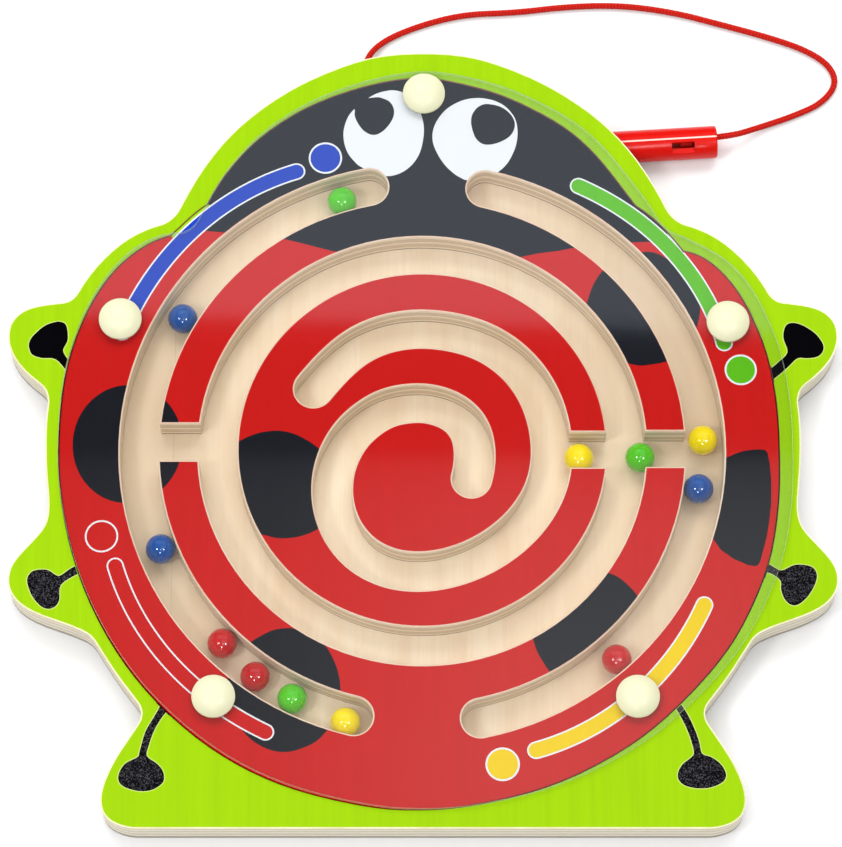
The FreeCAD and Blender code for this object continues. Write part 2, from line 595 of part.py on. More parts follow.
def seam(name, up):
    """A V groove along the wand's seam: a square bar turned on its edge."""
    b = doc.addObject("Part::Box", name)
    b.Placement = Placement(Vector(0, 0, 0), Rotation(Vector(1, 0, 0), 45))
    b.setExpression("Length", "(dims.wand_length + 2) * 1 mm")
    b.setExpression("Width", "dims.seam_groove * 1 mm")
    b.setExpression("Height", "dims.seam_groove * 1 mm")
    b.setExpression(".Placement.Base.x", "(-dims.wand_length - 1) * 1 mm")
    b.setExpression(".Placement.Base.z", "(%s - dims.seam_groove / sqrt(2)) * 1 mm" % up)
    return b


seams = fuse("seams", [seam("seam_top", "dims.wand_width / 2"), seam("seam_bottom", "-dims.wand_width / 2")])
rounded_seamed = cut("wand_seamed", rounded, seams)
front_room = box("front_room", "-120 mm", "0 mm", "-15 mm", "140 mm", "15 mm", "30 mm")
back_room = box("back_room", "-120 mm", "-15 mm", "-15 mm", "140 mm", "15 mm", "30 mm")
wand_shell_front = on_wand(cut("wand_shell_front", rounded_seamed, fuse("front_cuts", [wand_bore, cord_hole, window, front_room])))
wand_shell_back = on_wand(cut("wand_shell_back", rounded_seamed, fuse("back_cuts", [wand_bore, cord_hole, back_room])))

nose_tip = rod("nose_tip", "dims.wand_width / 2 * 1 mm", "(-dims.wand_length - dims.nose_length) * 1 mm", "dims.nose_length * 1 mm")
nose_round = doc.addObject("Part::Fillet", "nose_round")
nose_round.Base = nose_tip
doc.recompute()
tip_x = nose_tip.Shape.BoundBox.XMin
ring = [i + 1 for i, e in enumerate(nose_tip.Shape.Edges)
        if len(e.Vertexes) == 1 and abs(e.BoundBox.XMin - tip_x) < 1e-6 and abs(e.BoundBox.XMax - tip_x) < 1e-6]
nose_round.Edges = [(i, 2.6, 2.6) for i in ring]
nose_spigot = rod("nose_spigot", "dims.wand_bore / 2 * 1 mm", "-dims.wand_length * 1 mm", "4 mm")
nose_solid = fuse("nose_solid", [nose_round, nose_spigot])
magnet_seat = rod("magnet_seat", "dims.magnet_width / 2 * 1 mm", "(-dims.wand_length - dims.nose_length + 1.5) * 1 mm", "20 mm")
wand_nose = on_wand(cut("wand_nose", nose_solid, magnet_seat))


def seat_rod(name, radius, x, length, side="0", up="0"):
    """A solid rod along the wand, placed straight in the object's frame."""
    c = doc.addObject("Part::Cylinder", name)
    c.Placement = Placement(Vector(0, 0, 0), TURN.multiply(Rotation(Vector(0, 1, 0), 90)))
    c.setExpression("Radius", radius)
    c.setExpression("Height", length)
    c.setExpression(".Placement.Base.x", "(dims.wand_x + (%s) * cos(dims.wand_turn) - (%s) * sin(dims.wand_turn)) * 1 mm" % (x, side))
    c.setExpression(".Placement.Base.y", "(dims.wand_y + (%s) * sin(dims.wand_turn) + (%s) * cos(dims.wand_turn)) * 1 mm" % (x, side))
    c.setExpression(".Placement.Base.z", "(dims.wand_width / 2 + (%s)) * 1 mm" % up)
    return c


wand_magnet = seat_rod("wand_magnet", "dims.magnet_width / 2 * 1 mm", "-dims.wand_length - dims.nose_length + 1.5",
                       "dims.magnet_long * 1 mm")
KNOT_BACK = 8.7
knot_core = seat_rod("knot_core", "2.4 mm", "-%s - 4.6" % KNOT_BACK, "4.6 mm", "0.6", "1.0")
wand_knot = doc.addObject("Part::Fillet", "wand_knot")
wand_knot.Base = knot_core
doc.recompute()
wand_knot.Edges = [(i + 1, 0.45, 0.45) for i, e in enumerate(knot_core.Shape.Edges)
                   if len(e.Vertexes) == 1 and e.Curve.TypeId == "Part::GeomCircle"]
subparts += [wand_shell_front, wand_shell_back, wand_nose, wand_magnet, wand_knot]

# ---------------------------------------------------------------------- cord
knot_seat = doc.addObject("Part::Cylinder", "knot_seat")
knot_seat.Placement = Placement(Vector(0, 0, 0), Rotation(Vector(1, 0, 0), 90))
knot_seat.setExpression("Radius", "dims.knot_radius * 1 mm")
knot_seat.setExpression("Height", "dims.knot_long * 1 mm")
knot_seat.setExpression(".Placement.Base.x", "dims.anchor_x * 1 mm")
knot_seat.setExpression(".Placement.Base.y", "dims.knot_end * 1 mm")
knot_seat.setExpression(".Placement.Base.z", "(dims.back_thick + dims.knot_radius + 0.1) * 1 mm")
board_knot = doc.addObject("Part::Fillet", "board_knot")
board_knot.Base = knot_seat
doc.recompute()
board_knot.Edges = [(i + 1, 0.45, 0.45) for i, e in enumerate(knot_seat.Shape.Edges)
                    if len(e.Vertexes) == 1 and e.Curve.TypeId == "Part::GeomCircle"]
subparts.append(board_knot)

# The cord's route: out of the board's rear edge, down onto the table, round in
# one loose loop and into the wand's end.
turn = math.radians(D("wand_turn"))


def wand_point(x, side, up):
    return Vector(D("wand_x") + x * math.cos(turn) - side * math.sin(turn),
                  D("wand_y") + x * math.sin(turn) + side * math.cos(turn), D("wand_width") / 2 + up)


ROUTE = [
    Vector(D("anchor_x"), D("knot_end") + 0.15, D("anchor_z")),
    Vector(-21.3, 142.6, 5.0),
    Vector(-15.6, 151.4, 1.7),
    Vector(-2.5, 157.8, 1.25),
    Vector(14.5, 162.6, 1.25),
    Vector(33.0, 163.2, 1.25),
    Vector(52.0, 165.6, 1.25),
    Vector(71.5, 166.2, 1.25),
    Vector(91.0, 163.4, 1.25),
    Vector(108.0, 158.6, 1.25),
    Vector(124.0, 154.0, 1.25),
    Vector(138.5, 148.8, 1.25),
    Vector(147.3, 142.6, 1.25),
    Vector(149.6, 135.2, 1.25),
    Vector(143.6, 127.6, 1.25),
    Vector(132.5, 122.6, 1.3),
    Vector(121.4, 118.5, 1.9),
    wand_point(4.4, D("hole_side"), D("hole_up")),
    wand_point(-KNOT_BACK + 0.1, D("hole_side"), D("hole_up")),
]


def tube_path(points):
    edges, here, length = [], points[0], 0.0
    for i in range(1, len(points) - 1):
        a, b, c = points[i - 1], points[i], points[i + 1]
        u, w = (a - b), (c - b)
        run = min(u.Length, w.Length)
        u.normalize()
        w.normalize()
        half = (math.pi - u.getAngle(w)) / 2
        back = 0.45 * run
        radius = back / math.tan(half)
        print("cord point %2d: radius %.1f mm, turn %.1f deg" % (i, radius, math.degrees(2 * half)))
        p, q = b + u * back, b + w * back
        inward = (u + w)
        inward.normalize()
        middle = b + inward * (math.hypot(radius, back) - radius)
        edges.append(Part.LineSegment(here, p).toShape())
        edges.append(Part.Arc(p, middle, q).toShape())
        here = q
    edges.append(Part.LineSegment(here, points[-1]).toShape())
    return Part.Wire(edges)


path = tube_path(ROUTE)
start = (ROUTE[1] - ROUTE[0])
start.normalize()
section = Part.Wire([Part.Circle(ROUTE[0], start, D("cord_width") / 2).toShape()])
tube = path.makePipeShell([section], True, True)
wand_cord = doc.addObject("Part::Feature", "wand_cord")
wand_cord.Shape = tube
wand_cord.Placement = Placement()
area = math.pi * (D("cord_width") / 2) ** 2
print("cord length %.1f mm, volume %.1f, section x length %.1f" % (path.Length, tube.Volume, area * path.Length))
if abs(tube.Volume - area * path.Length) > 0.01 * tube.Volume:
    raise SystemExit("the cord's tube is not its section times its length")
subparts.append(wand_cord)

# -------------------------------------------------------------------- export
doc.recompute()
for o in doc.Objects:
    if any(w in o.State for w in ("Invalid", "Error")):
        raise SystemExit("%s: %s" % (o.Name, o.State))
for o in subparts:
    o.Label = o.Name
    if o.Shape.isNull() or not o.Shape.isValid():
        raise SystemExit("%s has no valid shape" % o.Name)
    if len(o.Shape.Solids) != 1:
        raise SystemExit("%s has %d solids" % (o.Name, len(o.Shape.Solids)))

floor_area = board_outline.Shape.Area
if not back_plate.Shape.Volume < floor_area * D("back_thick") - 500:
    raise SystemExit("the storage channel cuts nothing from the back plate")
if not clear_cover.Shape.Volume < cover_blank.Shape.Volume - 50:
    raise SystemExit("the cover has no holes")
if not spiral_island.Shape.Volume < 0.8 * island_blank.Shape.Volume:
    raise SystemExit("the spiral track is missing")
for o in subparts:
    b = o.Shape.BoundBox
    print("%-20s volume %9.1f  x %7.2f %7.2f  y %7.2f %7.2f  z %6.2f %6.2f" % (
        o.Label, o.Shape.Volume, b.XMin, b.XMax, b.YMin, b.YMax, b.ZMin, b.ZMax))
    o.Shape.exportStep("parts/%s.step" % o.Label)
print(len(subparts), "nodes")
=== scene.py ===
import bpy
import math
import numpy as np
from mathutils import Vector, Matrix
from mathutils.geometry import delaunay_2d_cdt


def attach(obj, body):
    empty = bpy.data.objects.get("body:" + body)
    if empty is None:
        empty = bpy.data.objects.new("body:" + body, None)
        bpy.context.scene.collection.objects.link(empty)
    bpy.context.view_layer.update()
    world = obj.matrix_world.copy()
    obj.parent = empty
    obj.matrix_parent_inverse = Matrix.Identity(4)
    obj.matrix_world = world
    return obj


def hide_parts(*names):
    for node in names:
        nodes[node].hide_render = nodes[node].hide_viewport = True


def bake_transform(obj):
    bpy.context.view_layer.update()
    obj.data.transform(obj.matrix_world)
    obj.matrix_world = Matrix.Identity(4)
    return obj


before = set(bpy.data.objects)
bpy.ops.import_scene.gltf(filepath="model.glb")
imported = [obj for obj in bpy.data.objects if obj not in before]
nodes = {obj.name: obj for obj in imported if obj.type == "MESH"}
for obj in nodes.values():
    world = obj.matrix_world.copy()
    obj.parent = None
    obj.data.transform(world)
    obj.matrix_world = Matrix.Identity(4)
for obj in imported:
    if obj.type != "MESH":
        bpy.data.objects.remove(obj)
scene = bpy.context.scene


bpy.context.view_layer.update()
MM = 0.001


def lin(r, g, b):
    out = []
    for c in (r, g, b):
        c /= 255.0
        out.append(c / 12.92 if c <= 0.04045 else ((c + 0.055) / 1.055) ** 2.4)
    return out + [1.0]


# ------------------------------------------------------------------- camera
AIM = Vector((-0.000731, 0.002541, 0.015))
TILT = math.radians(72.6)
cam_data = bpy.data.cameras.new("camera")
cam_data.sensor_width = 36.0
cam_data.sensor_fit = "AUTO"
cam_data.lens = 36.0 * 4571.4 / 847.0
cam = bpy.data.objects.new("camera", cam_data)
scene.collection.objects.link(cam)
cam.location = AIM + 1.6 * Vector((0.0, -math.cos(TILT), math.sin(TILT)))
cam.rotation_euler = (math.pi / 2 - TILT, 0.0, 0.0)
cam_data.clip_end = 60.0
scene.camera = cam

# --------------------------------------------------------------------- cord
TURN = math.radians(3.55)


def wand_point(x, side, up):
    return (105.3 + x * math.cos(TURN) - side * math.sin(TURN), 111.4 + x * math.sin(TURN) + side * math.cos(TURN), 5.8 + up)


ROUTE = [
    (-21.2, 135.05, 5.2), (-21.3, 142.6, 5.0), (-15.6, 151.4, 1.7), (-2.5, 157.8, 1.25), (14.5, 162.6, 1.25),
    (33.0, 163.2, 1.25), (52.0, 165.6, 1.25), (71.5, 166.2, 1.25), (91.0, 163.4, 1.25), (108.0, 158.6, 1.25),
    (124.0, 154.0, 1.25), (138.5, 148.8, 1.25), (147.3, 142.6, 1.25), (149.6, 135.2, 1.25), (143.6, 127.6, 1.25),
    (132.5, 122.6, 1.3), (121.4, 118.5, 1.9), wand_point(4.4, 1.0, 1.6), wand_point(-8.6, 1.0, 1.6),
]
cu = bpy.data.curves.new("cord_line", "CURVE")
cu.dimensions = "3D"
sp = cu.splines.new("NURBS")
sp.points.add(len(ROUTE) - 1)
for i, p in enumerate(ROUTE):
    sp.points[i].co = (p[0] * MM, p[1] * MM, p[2] * MM, 1.0)
sp.order_u = 3
sp.use_endpoint_u = True
sp.resolution_u = 40
line = bpy.data.objects.new("cord_line", cu)
scene.collection.objects.link(line)
line_mesh = bpy.data.meshes.new_from_object(line)
cord_line = np.array([v.co[:] for v in line_mesh.vertices], float) * 1000.0
bpy.data.objects.remove(line)


def resample(points, step):
    d = np.r_[0.0, np.cumsum(np.linalg.norm(np.diff(points, axis=0), axis=1))]
    n = max(2, int(round(d[-1] / step)))
    s = np.linspace(0, d[-1], n + 1)
    return np.stack([np.interp(s, d, points[:, k]) for k in range(3)], 1), s


def frames(P):
    """Unit tangents, and two sideways directions carried along the line without twist."""
    T = np.gradient(P, axis=0)
    T /= np.linalg.norm(T, axis=1)[:, None]
    N = np.zeros_like(T)
    a = np.array([0, 0, 1.0]) - T[0] * T[0][2]
    N[0] = a / np.linalg.norm(a)
    for i in range(1, len(P)):
        v = N[i - 1] - T[i] * np.dot(N[i - 1], T[i])
        N[i] = v / np.linalg.norm(v)
    return T, N, np.cross(T, N)


def sweep(P, T, A, B, profile, verts, faces, caps=True):
    """A closed tube: profile is (along A, along B) around each point."""
    k, n0 = len(profile), len(verts)
    for i in range(len(P)):
        for u, v in profile:
            verts.append(P[i] + A[i] * u + B[i] * v)
    for i in range(len(P) - 1):
        for j in range(k):
            a, b = n0 + i * k + j, n0 + i * k + (j + 1) % k
            faces.append((a, b, b + k, a + k))
    if caps:
        faces.append(tuple(n0 + j for j in range(k))[::-1])
        faces.append(tuple(n0 + (len(P) - 1) * k + j for j in range(k)))


def make(name, verts, faces, mats, index=None, smooth=None):
    """A mesh object from points in millimetres."""
    me = bpy.data.meshes.new(name)
    me.from_pydata([tuple(float(c) * MM for c in v) for v in verts], [], [tuple(int(i) for i in f) for f in faces])
    for m in mats:
        me.materials.append(m)
    if index is not None:
        me.polygons.foreach_set("material_index", np.array(index, np.int32))
    if smooth is not None:
        me.polygons.foreach_set("use_smooth", np.ones(len(me.polygons), bool))
        me.set_sharp_from_angle(angle=math.radians(smooth))
    me.update()
    ob = bpy.data.objects.new(name, me)
    scene.collection.objects.link(ob)
    return ob


def braid(points, strands=6, radius=1.2, pitch=7.2, step=0.45):
    P, s = resample(points, step)
    T, N, B = frames(P)
    verts, faces = [], []
    rc, lift, half_w, half_h = radius - 0.35, 0.13, 0.36, 0.21
    ring = [(math.cos(a), math.sin(a)) for a in np.linspace(0, 2 * math.pi, 6, endpoint=False)]
    core = [(0.72 * (radius - 0.2) * c, 0.72 * (radius - 0.2) * d) for c, d in ring]
    sweep(P, T, N, B, core, verts, faces)
    core_n = len(faces)
    w = 2 * math.pi / pitch
    for way in (1, -1):
        for k in range(strands):
            th = 2 * math.pi * k / strands + way * w * s
            r = rc + way * lift * np.cos(strands * w * s)
            E = N * np.cos(th)[:, None] + B * np.sin(th)[:, None]
            C = P + E * r[:, None]
            TT = np.gradient(C, axis=0)
            TT /= np.linalg.norm(TT, axis=1)[:, None]
            side = np.cross(TT, E)
            side /= np.linalg.norm(side, axis=1)[:, None]
            out = np.cross(TT, side)
            sweep(C, TT, side, out, [(half_w * c, half_h * d) for c, d in ring], verts, faces)
        if way > 0:
            first = len(faces)
    slots = [0 if core_n <= i < first else 1 for i in range(len(faces))]
    return verts, faces, P, s, slots


# ---------------------------------------------------------------- materials
class Mat:
    """A small helper that builds one node tree around a Principled shader."""

    def __init__(self, name, base, rough=0.5, spec=0.5, coat=0.0, metallic=0.0):
        self.m = bpy.data.materials.new(name)
        self.m.use_nodes = True
        self.t = self.m.node_tree
        self.t.nodes.clear()
        self.out = self.t.nodes.new("ShaderNodeOutputMaterial")
        self.b = self.t.nodes.new("ShaderNodeBsdfPrincipled")
        self.t.links.new(self.b.outputs[0], self.out.inputs[0])
        self.b.inputs["Base Color"].default_value = base
        self.b.inputs["Roughness"].default_value = rough
        self.b.inputs["Specular IOR Level"].default_value = spec
        self.b.inputs["Coat Weight"].default_value = coat
        self.b.inputs["Coat Roughness"].default_value = 0.03
        self.b.inputs["Metallic"].default_value = metallic
        self.base = base
        self.co = self.t.nodes.new("ShaderNodeTexCoord").outputs["Object"]

    def link(self, a, b):
        self.t.links.new(a, b)

    def scaled(self, sx, sy, sz, rot=(0, 0, 0)):
        n = self.t.nodes.new("ShaderNodeMapping")
        n.inputs["Scale"].default_value = (sx, sy, sz)
        n.inputs["Rotation"].default_value = rot
        self.link(self.co, n.inputs["Vector"])
        return n.outputs[0]

    def noise(self, vec, scale=1.0, detail=3.0, rough=0.5, distort=0.0):
        n = self.t.nodes.new("ShaderNodeTexNoise")
        n.inputs["Scale"].default_value = scale
        n.inputs["Detail"].default_value = detail
        n.inputs["Roughness"].default_value = rough
        n.inputs["Distortion"].default_value = distort
        self.link(vec, n.inputs["Vector"])
        return n.outputs["Fac"]

    def ramp(self, fac, stops, smooth=True):
        n = self.t.nodes.new("ShaderNodeValToRGB")
        e = n.color_ramp.elements
        while len(e) < len(stops):
            e.new(0.5)
        for k, (pos, col) in enumerate(stops):
            e[k].position = pos
            e[k].color = col if hasattr(col, "__len__") else (col, col, col, 1.0)
        n.color_ramp.interpolation = "LINEAR" if smooth else "CONSTANT"
        self.link(fac, n.inputs["Fac"])
        return n.outputs["Color"]

    def mix(self, fac, a, b, how="MIX"):
        n = self.t.nodes.new("ShaderNodeMix")
        n.data_type = "RGBA"
        n.blend_type = how
        for sock, val in ((n.inputs[0], fac), (n.inputs[6], a), (n.inputs[7], b)):
            if isinstance(val, bpy.types.NodeSocket):
                self.link(val, sock)
            elif hasattr(val, "__len__"):
                sock.default_value = val
            else:
                sock.default_value = val
        return n.outputs[2]

    def math(self, op, a, b=None, c=None):
        n = self.t.nodes.new("ShaderNodeMath")
        n.operation = op
        for sock, val in zip(n.inputs, (a, b, c)):
            if val is None:
                continue
            if isinstance(val, bpy.types.NodeSocket):
                self.link(val, sock)
            else:
                sock.default_value = val
        return n.outputs[0]

    def axis(self, k):
        n = self.t.nodes.new("ShaderNodeSeparateXYZ")
        self.link(self.co, n.inputs[0])
        return n.outputs[k]

    def color(self, sock):
        self.link(sock, self.b.inputs["Base Color"])
        return self

    def rough(self, fac, low, high):
        n = self.t.nodes.new("ShaderNodeMapRange")
        n.inputs["To Min"].default_value = low
        n.inputs["To Max"].default_value = high
        self.link(fac, n.inputs["Value"])
        self.link(n.outputs[0], self.b.inputs["Roughness"])
        return self

    def bump(self, height, strength=0.3, distance=0.0001):
        n = self.t.nodes.new("ShaderNodeBump")
        n.inputs["Strength"].default_value = strength
        n.inputs["Distance"].default_value = distance
        self.link(height, n.inputs["Height"])
        self.link(n.outputs[0], self.b.inputs["Normal"])
        return self


def tint(c, k):
    return [min(1.0, v * k) for v in c[:3]] + [1.0]


def veneer(name, base, dark, pale, rough=0.5, joint_and_side_shade=False):
    """Rotary-cut birch face veneer: long soft figure and short pores along Y. With joint_and_side_shade on, a thin dark
    veneer joint runs at x = -87.8 mm, and the face is darkened beyond 52 mm from x = 0: painted shade on the left and
    right tracks.
    """
    m = Mat(name, base, rough)
    figure = m.noise(m.scaled(55, 9, 55), 1.0, 4.0, 0.55, 1.2)
    streak = m.noise(m.scaled(900, 26, 900), 1.0, 3.0, 0.6)
    pores = m.noise(m.scaled(3200, 190, 3200), 1.0, 2.0, 0.5)
    c = m.mix(m.ramp(figure, [(0.32, 0.0), (0.72, 1.0)]), pale, dark)
    c = m.mix(m.ramp(streak, [(0.4, 0.0), (0.8, 0.4)]), c, tint(dark, 0.95))
    c = m.mix(m.ramp(pores, [(0.62, 0.0), (0.74, 0.3)]), c, tint(dark, 0.8))
    if joint_and_side_shade:
        # painted shade: the floor is darkened towards the left and right, beyond 52 mm from the middle
        side_shade = m.ramp(m.math("ABSOLUTE", m.axis(0)), [(0.052, 0.0), (0.1, 0.9)])
        c = m.mix(side_shade, c, tint(dark, 0.82))
        off = m.math("ABSOLUTE", m.math("ADD", m.axis(0), 0.0878))
        near = m.math("LESS_THAN", off, 0.00012)
        c = m.mix(m.math("MULTIPLY", near, 0.5), c, tint(dark, 0.6))
    m.color(c)
    m.rough(streak, rough - 0.08, rough + 0.12)
    m.bump(m.math("ADD", streak, m.math("MULTIPLY", pores, 0.6)), 0.35, 0.00006)
    return m.m


def ply_edge(name, pale, dark, glue, bottom=3.0, layer=2.0, line=0.12, foot_shade=0.0):
    """The sawn edge of plywood: plies that show long grain and end grain in turn."""
    m = Mat(name, pale, 0.62)
    wob = m.math("MULTIPLY", m.math("SUBTRACT", m.noise(m.scaled(60, 60, 20), 1.0, 2.0), 0.5), 0.00035)
    z = m.math("ADD", m.math("SUBTRACT", m.axis(2), bottom * MM), wob)
    step = m.math("DIVIDE", z, layer * MM)
    frac = m.math("FRACT", step)
    odd = m.math("MODULO", m.math("FLOOR", step), 2.0)
    end = m.noise(m.scaled(2600, 2600, 900), 1.0, 3.0, 0.6)
    long_g = m.noise(m.scaled(160, 160, 3200), 1.0, 3.0, 0.6)
    a = m.mix(m.ramp(long_g, [(0.35, 0.0), (0.7, 0.6)]), pale, dark)
    b = m.mix(m.ramp(end, [(0.35, 0.15), (0.68, 1.0)]), dark, tint(dark, 0.8))
    c = m.mix(odd, a, b)
    line_f = m.math("LESS_THAN", frac, line)
    c = m.mix(m.math("MULTIPLY", line_f, 0.6), c, glue)
    # painted shade: the wall is darkened along its foot, where it meets the floor
    if foot_shade:
        low = m.math("LESS_THAN", m.axis(2), (bottom + foot_shade) * MM)
        c = m.mix(m.math("MULTIPLY", low, 0.8), c, tint(glue, 0.6))
    m.color(c)
    m.rough(end, 0.5, 0.75)
    m.bump(m.math("ADD", m.math("MULTIPLY", end, 0.5), m.math("MULTIPLY", frac, 0.25)), 0.4, 0.00008)
    return m.m


def paint(name, base, grain=0.05, rough=0.38, speck=0.0, bump=0.08, spec=0.04):
    """Ink or lacquer on a wood face: the veneer's grain shows faintly through it."""
    m = Mat(name, base, rough, spec)
    streak = m.noise(m.scaled(420, 14, 420), 1.0, 4.0, 0.6)
    cloud = m.noise(m.scaled(24, 24, 24), 1.0, 3.0, 0.5)
    fine = m.noise(m.scaled(4200, 4200, 4200), 1.0, 2.0, 0.5)
    c = m.mix(m.ramp(streak, [(0.3, 0.0), (0.75, 1.0)]), tint(base, 1.0 + grain), tint(base, 1.0 - grain))
    c = m.mix(m.math("MULTIPLY", m.ramp(cloud, [(0.35, 0.0), (0.7, 1.0)]), grain * 2.2), c, tint(base, 0.82))
    # speck mixes in a fine grey speckle: painted glints
    if speck:
        glint_noise = m.noise(m.scaled(2300, 2300, 2300), 1.0, 1.0, 0.5)
        c = m.mix(m.ramp(glint_noise, [(0.5, 0.0), (0.7, speck)]), c, lin(120, 118, 126))
    m.color(c)
    m.rough(fine, rough - 0.06, rough + 0.1)
    m.bump(m.math("ADD", streak, m.math("MULTIPLY", fine, 0.35)), bump, 0.00004)
    return m.m


K = 0.62  # the lights' share of a full white, so that printed tones come out as seen
GREEN = lin(171, 226, 4)
RED = lin(226, 22, 18)
BLACK = lin(25, 27, 37)
m_green = paint("green_lacquer", tint(lin(170, 223, 0), K), 0.05, 0.5, bump=0.2, spec=0.06)
m_red = paint("red_ink", tint(RED, K), 0.04, 0.4)
m_red_side = paint("red_side", tint(lin(240, 34, 30), 0.9), 0.08, 0.5)
m_black = paint("black_ink", tint(BLACK, K), 0.08, 0.5, bump=0.03)
m_feet = paint("black_lacquer", tint(lin(5, 4, 8), K), 0.1, 0.45, bump=0.3, spec=0.02)
# the lower feet carry a fine grey speckle: painted glints
m_feet_glints = paint("black_lacquer_glints", tint(lin(5, 4, 8), K), 0.1, 0.4, speck=0.3, bump=0.4, spec=0.06)
m_outline = paint("leg_outline", tint(lin(226, 244, 140), K), 0.03, 0.45)
m_white = paint("white_ink", tint(lin(250, 250, 255), 0.69), 0.012, 0.4)
m_blue = paint("blue_ink", tint(lin(22, 72, 208), K), 0.04, 0.4)
m_bar_green = paint("leaf_ink", tint(lin(108, 208, 26), K), 0.04, 0.4)
m_yellow = paint("yellow_ink", tint(lin(255, 216, 0), 0.7), 0.03, 0.4)
W = 0.92
m_floor_wood = veneer("birch_face", tint(lin(248, 224, 196), W), tint(lin(240, 212, 180), W), tint(lin(252, 234, 210), W), joint_and_side_shade=True)
m_lip = veneer("birch_lip", tint(lin(255, 216, 192), 0.74), tint(lin(250, 202, 176), 0.74), tint(lin(255, 230, 210), 0.74))
m_lip_pale = veneer("birch_rim", tint(lin(250, 246, 188), 0.78), tint(lin(240, 230, 168), 0.76), tint(lin(254, 250, 206), 0.8))
m_wall = ply_edge("ply_wall", tint(lin(250, 234, 212), 0.93), tint(lin(238, 216, 189), 0.88), tint(lin(140, 114, 88), 0.8), layer=2.4, line=0.13, foot_shade=0.65)
m_side = ply_edge("ply_side", tint(lin(244, 237, 216), 0.8), tint(lin(226, 215, 190), 0.8), tint(lin(190, 174, 148), 0.84))
# the back plate's edge is darker and greyer than the frame's side: painted shade for the shadowed strip under the
# board's edge
m_back = ply_edge("ply_back", tint(lin(204, 196, 182), 0.7), tint(lin(184, 174, 156), 0.7), tint(lin(140, 122, 100), 0.7), bottom=0.0, layer=1.0)


def cover_material(name, edge):
    m = Mat(name, (0.97, 0.985, 0.985, 1.0), 0.03, 0.5)
    t = m.t
    clear = t.nodes.new("ShaderNodeBsdfTransparent")
    clear.inputs[0].default_value = (0.965, 0.975, 0.97, 1.0)
    gloss = m.b
    scuff = m.noise(m.scaled(700, 700, 700), 1.0, 4.0, 0.6)
    wave = m.noise(m.scaled(9, 9, 9), 1.0, 2.0, 0.5)
    m.rough(scuff, 0.03, 0.06)
    m.bump(wave, 0.06, 0.0002)
    mixer = t.nodes.new("ShaderNodeMixShader")
    if edge:
        # edge faces: a partly opaque greenish white, a painted light line with a painted reflection of the green frame
        # below
        gloss.inputs["Base Color"].default_value = (0.55, 0.66, 0.5, 1.0)
        mixer.inputs[0].default_value = 0.32
    else:
        gloss.inputs["Base Color"].default_value = (0.0, 0.0, 0.0, 1.0)
        gloss.inputs["Specular IOR Level"].default_value = 1.0
        gloss.inputs["Metallic"].default_value = 1.0
        gloss.inputs["Base Color"].default_value = (1.0, 1.0, 1.0, 1.0)
        fres = t.nodes.new("ShaderNodeFresnel")
        fres.inputs["IOR"].default_value = 1.76
        geo = t.nodes.new("ShaderNodeNewGeometry")
        front = m.math("SUBTRACT", 1.0, geo.outputs["Backfacing"])
        t.links.new(m.math("MULTIPLY", fres.outputs[0], front), mixer.inputs[0])
    t.links.new(clear.outputs[0], mixer.inputs[1])
    t.links.new(gloss.outputs[0], mixer.inputs[2])
    t.links.new(mixer.outputs[0], m.out.inputs[0])
    return m.m


def plastic(name, base, rough=0.3, coat=0.0, grain=0.03, bump=0.15, size=900, spec=0.5):
    m = Mat(name, base, rough, spec, coat)
    fine = m.noise(m.scaled(size * 2.5, size * 2.5, size * 2.5), 1.0, 2.0, 0.5)
    cloud = m.noise(m.scaled(size / 9, size / 9, size / 9), 1.0, 3.0, 0.5)
    m.color(m.mix(m.ramp(cloud, [(0.3, 0.0), (0.7, 1.0)]), tint(base, 1 + grain), tint(base, 1 - grain)))
    m.rough(fine, max(0.03, rough - 0.05), rough + 0.07)
    m.bump(m.math("ADD", fine, m.math("MULTIPLY", cloud, 1.5)), bump, 0.00005)
    return m.m


def enamel(name, base):
    """Thick gloss enamel on a steel ball, with a soft orange-peel surface."""
    m = Mat(name, base, 0.07, 0.6, 0.5)
    peel = m.noise(m.scaled(420, 420, 420), 1.0, 2.0, 0.5)
    cloud = m.noise(m.scaled(130, 130, 130), 1.0, 3.0, 0.5)
    fleck = m.noise(m.scaled(2600, 2600, 2600), 1.0, 2.0, 0.5)
    c = m.mix(m.ramp(cloud, [(0.3, 0.0), (0.7, 1.0)]), tint(base, 1.06), tint(base, 0.9))
    c = m.mix(m.ramp(fleck, [(0.7, 0.0), (0.8, 0.25)]), c, tint(base, 0.6))
    m.color(c)
    m.rough(fleck, 0.04, 0.1)
    m.bump(peel, 0.1, 0.00008)
    return m.m


def metal(name, base, rough):
    m = Mat(name, base, rough, 0.5, 0.0, 1.0)
    lathe = m.noise(m.scaled(800, 800, 9000), 1.0, 3.0, 0.6)
    m.color(m.mix(m.ramp(lathe, [(0.3, 0.0), (0.7, 1.0)]), tint(base, 1.05), tint(base, 0.85)))
    m.rough(lathe, rough - 0.08, rough + 0.12)
    m.bump(lathe, 0.25, 0.00004)
    return m.m


def thread(name, base):
    m = Mat(name, base, 0.6, 0.12)
    fib = m.noise(m.scaled(5200, 5200, 5200), 1.0, 3.0, 0.7)
    cloud = m.noise(m.scaled(380, 380, 380), 1.0, 2.0, 0.5)
    c = m.mix(m.ramp(fib, [(0.3, 0.0), (0.7, 1.0)]), tint(base, 1.2), tint(base, 0.5))
    c = m.mix(m.math("MULTIPLY", cloud, 0.3), c, tint(base, 0.7))
    m.color(c)
    m.rough(fib, 0.5, 0.75)
    m.bump(fib, 0.5, 0.00006)
    return m.m


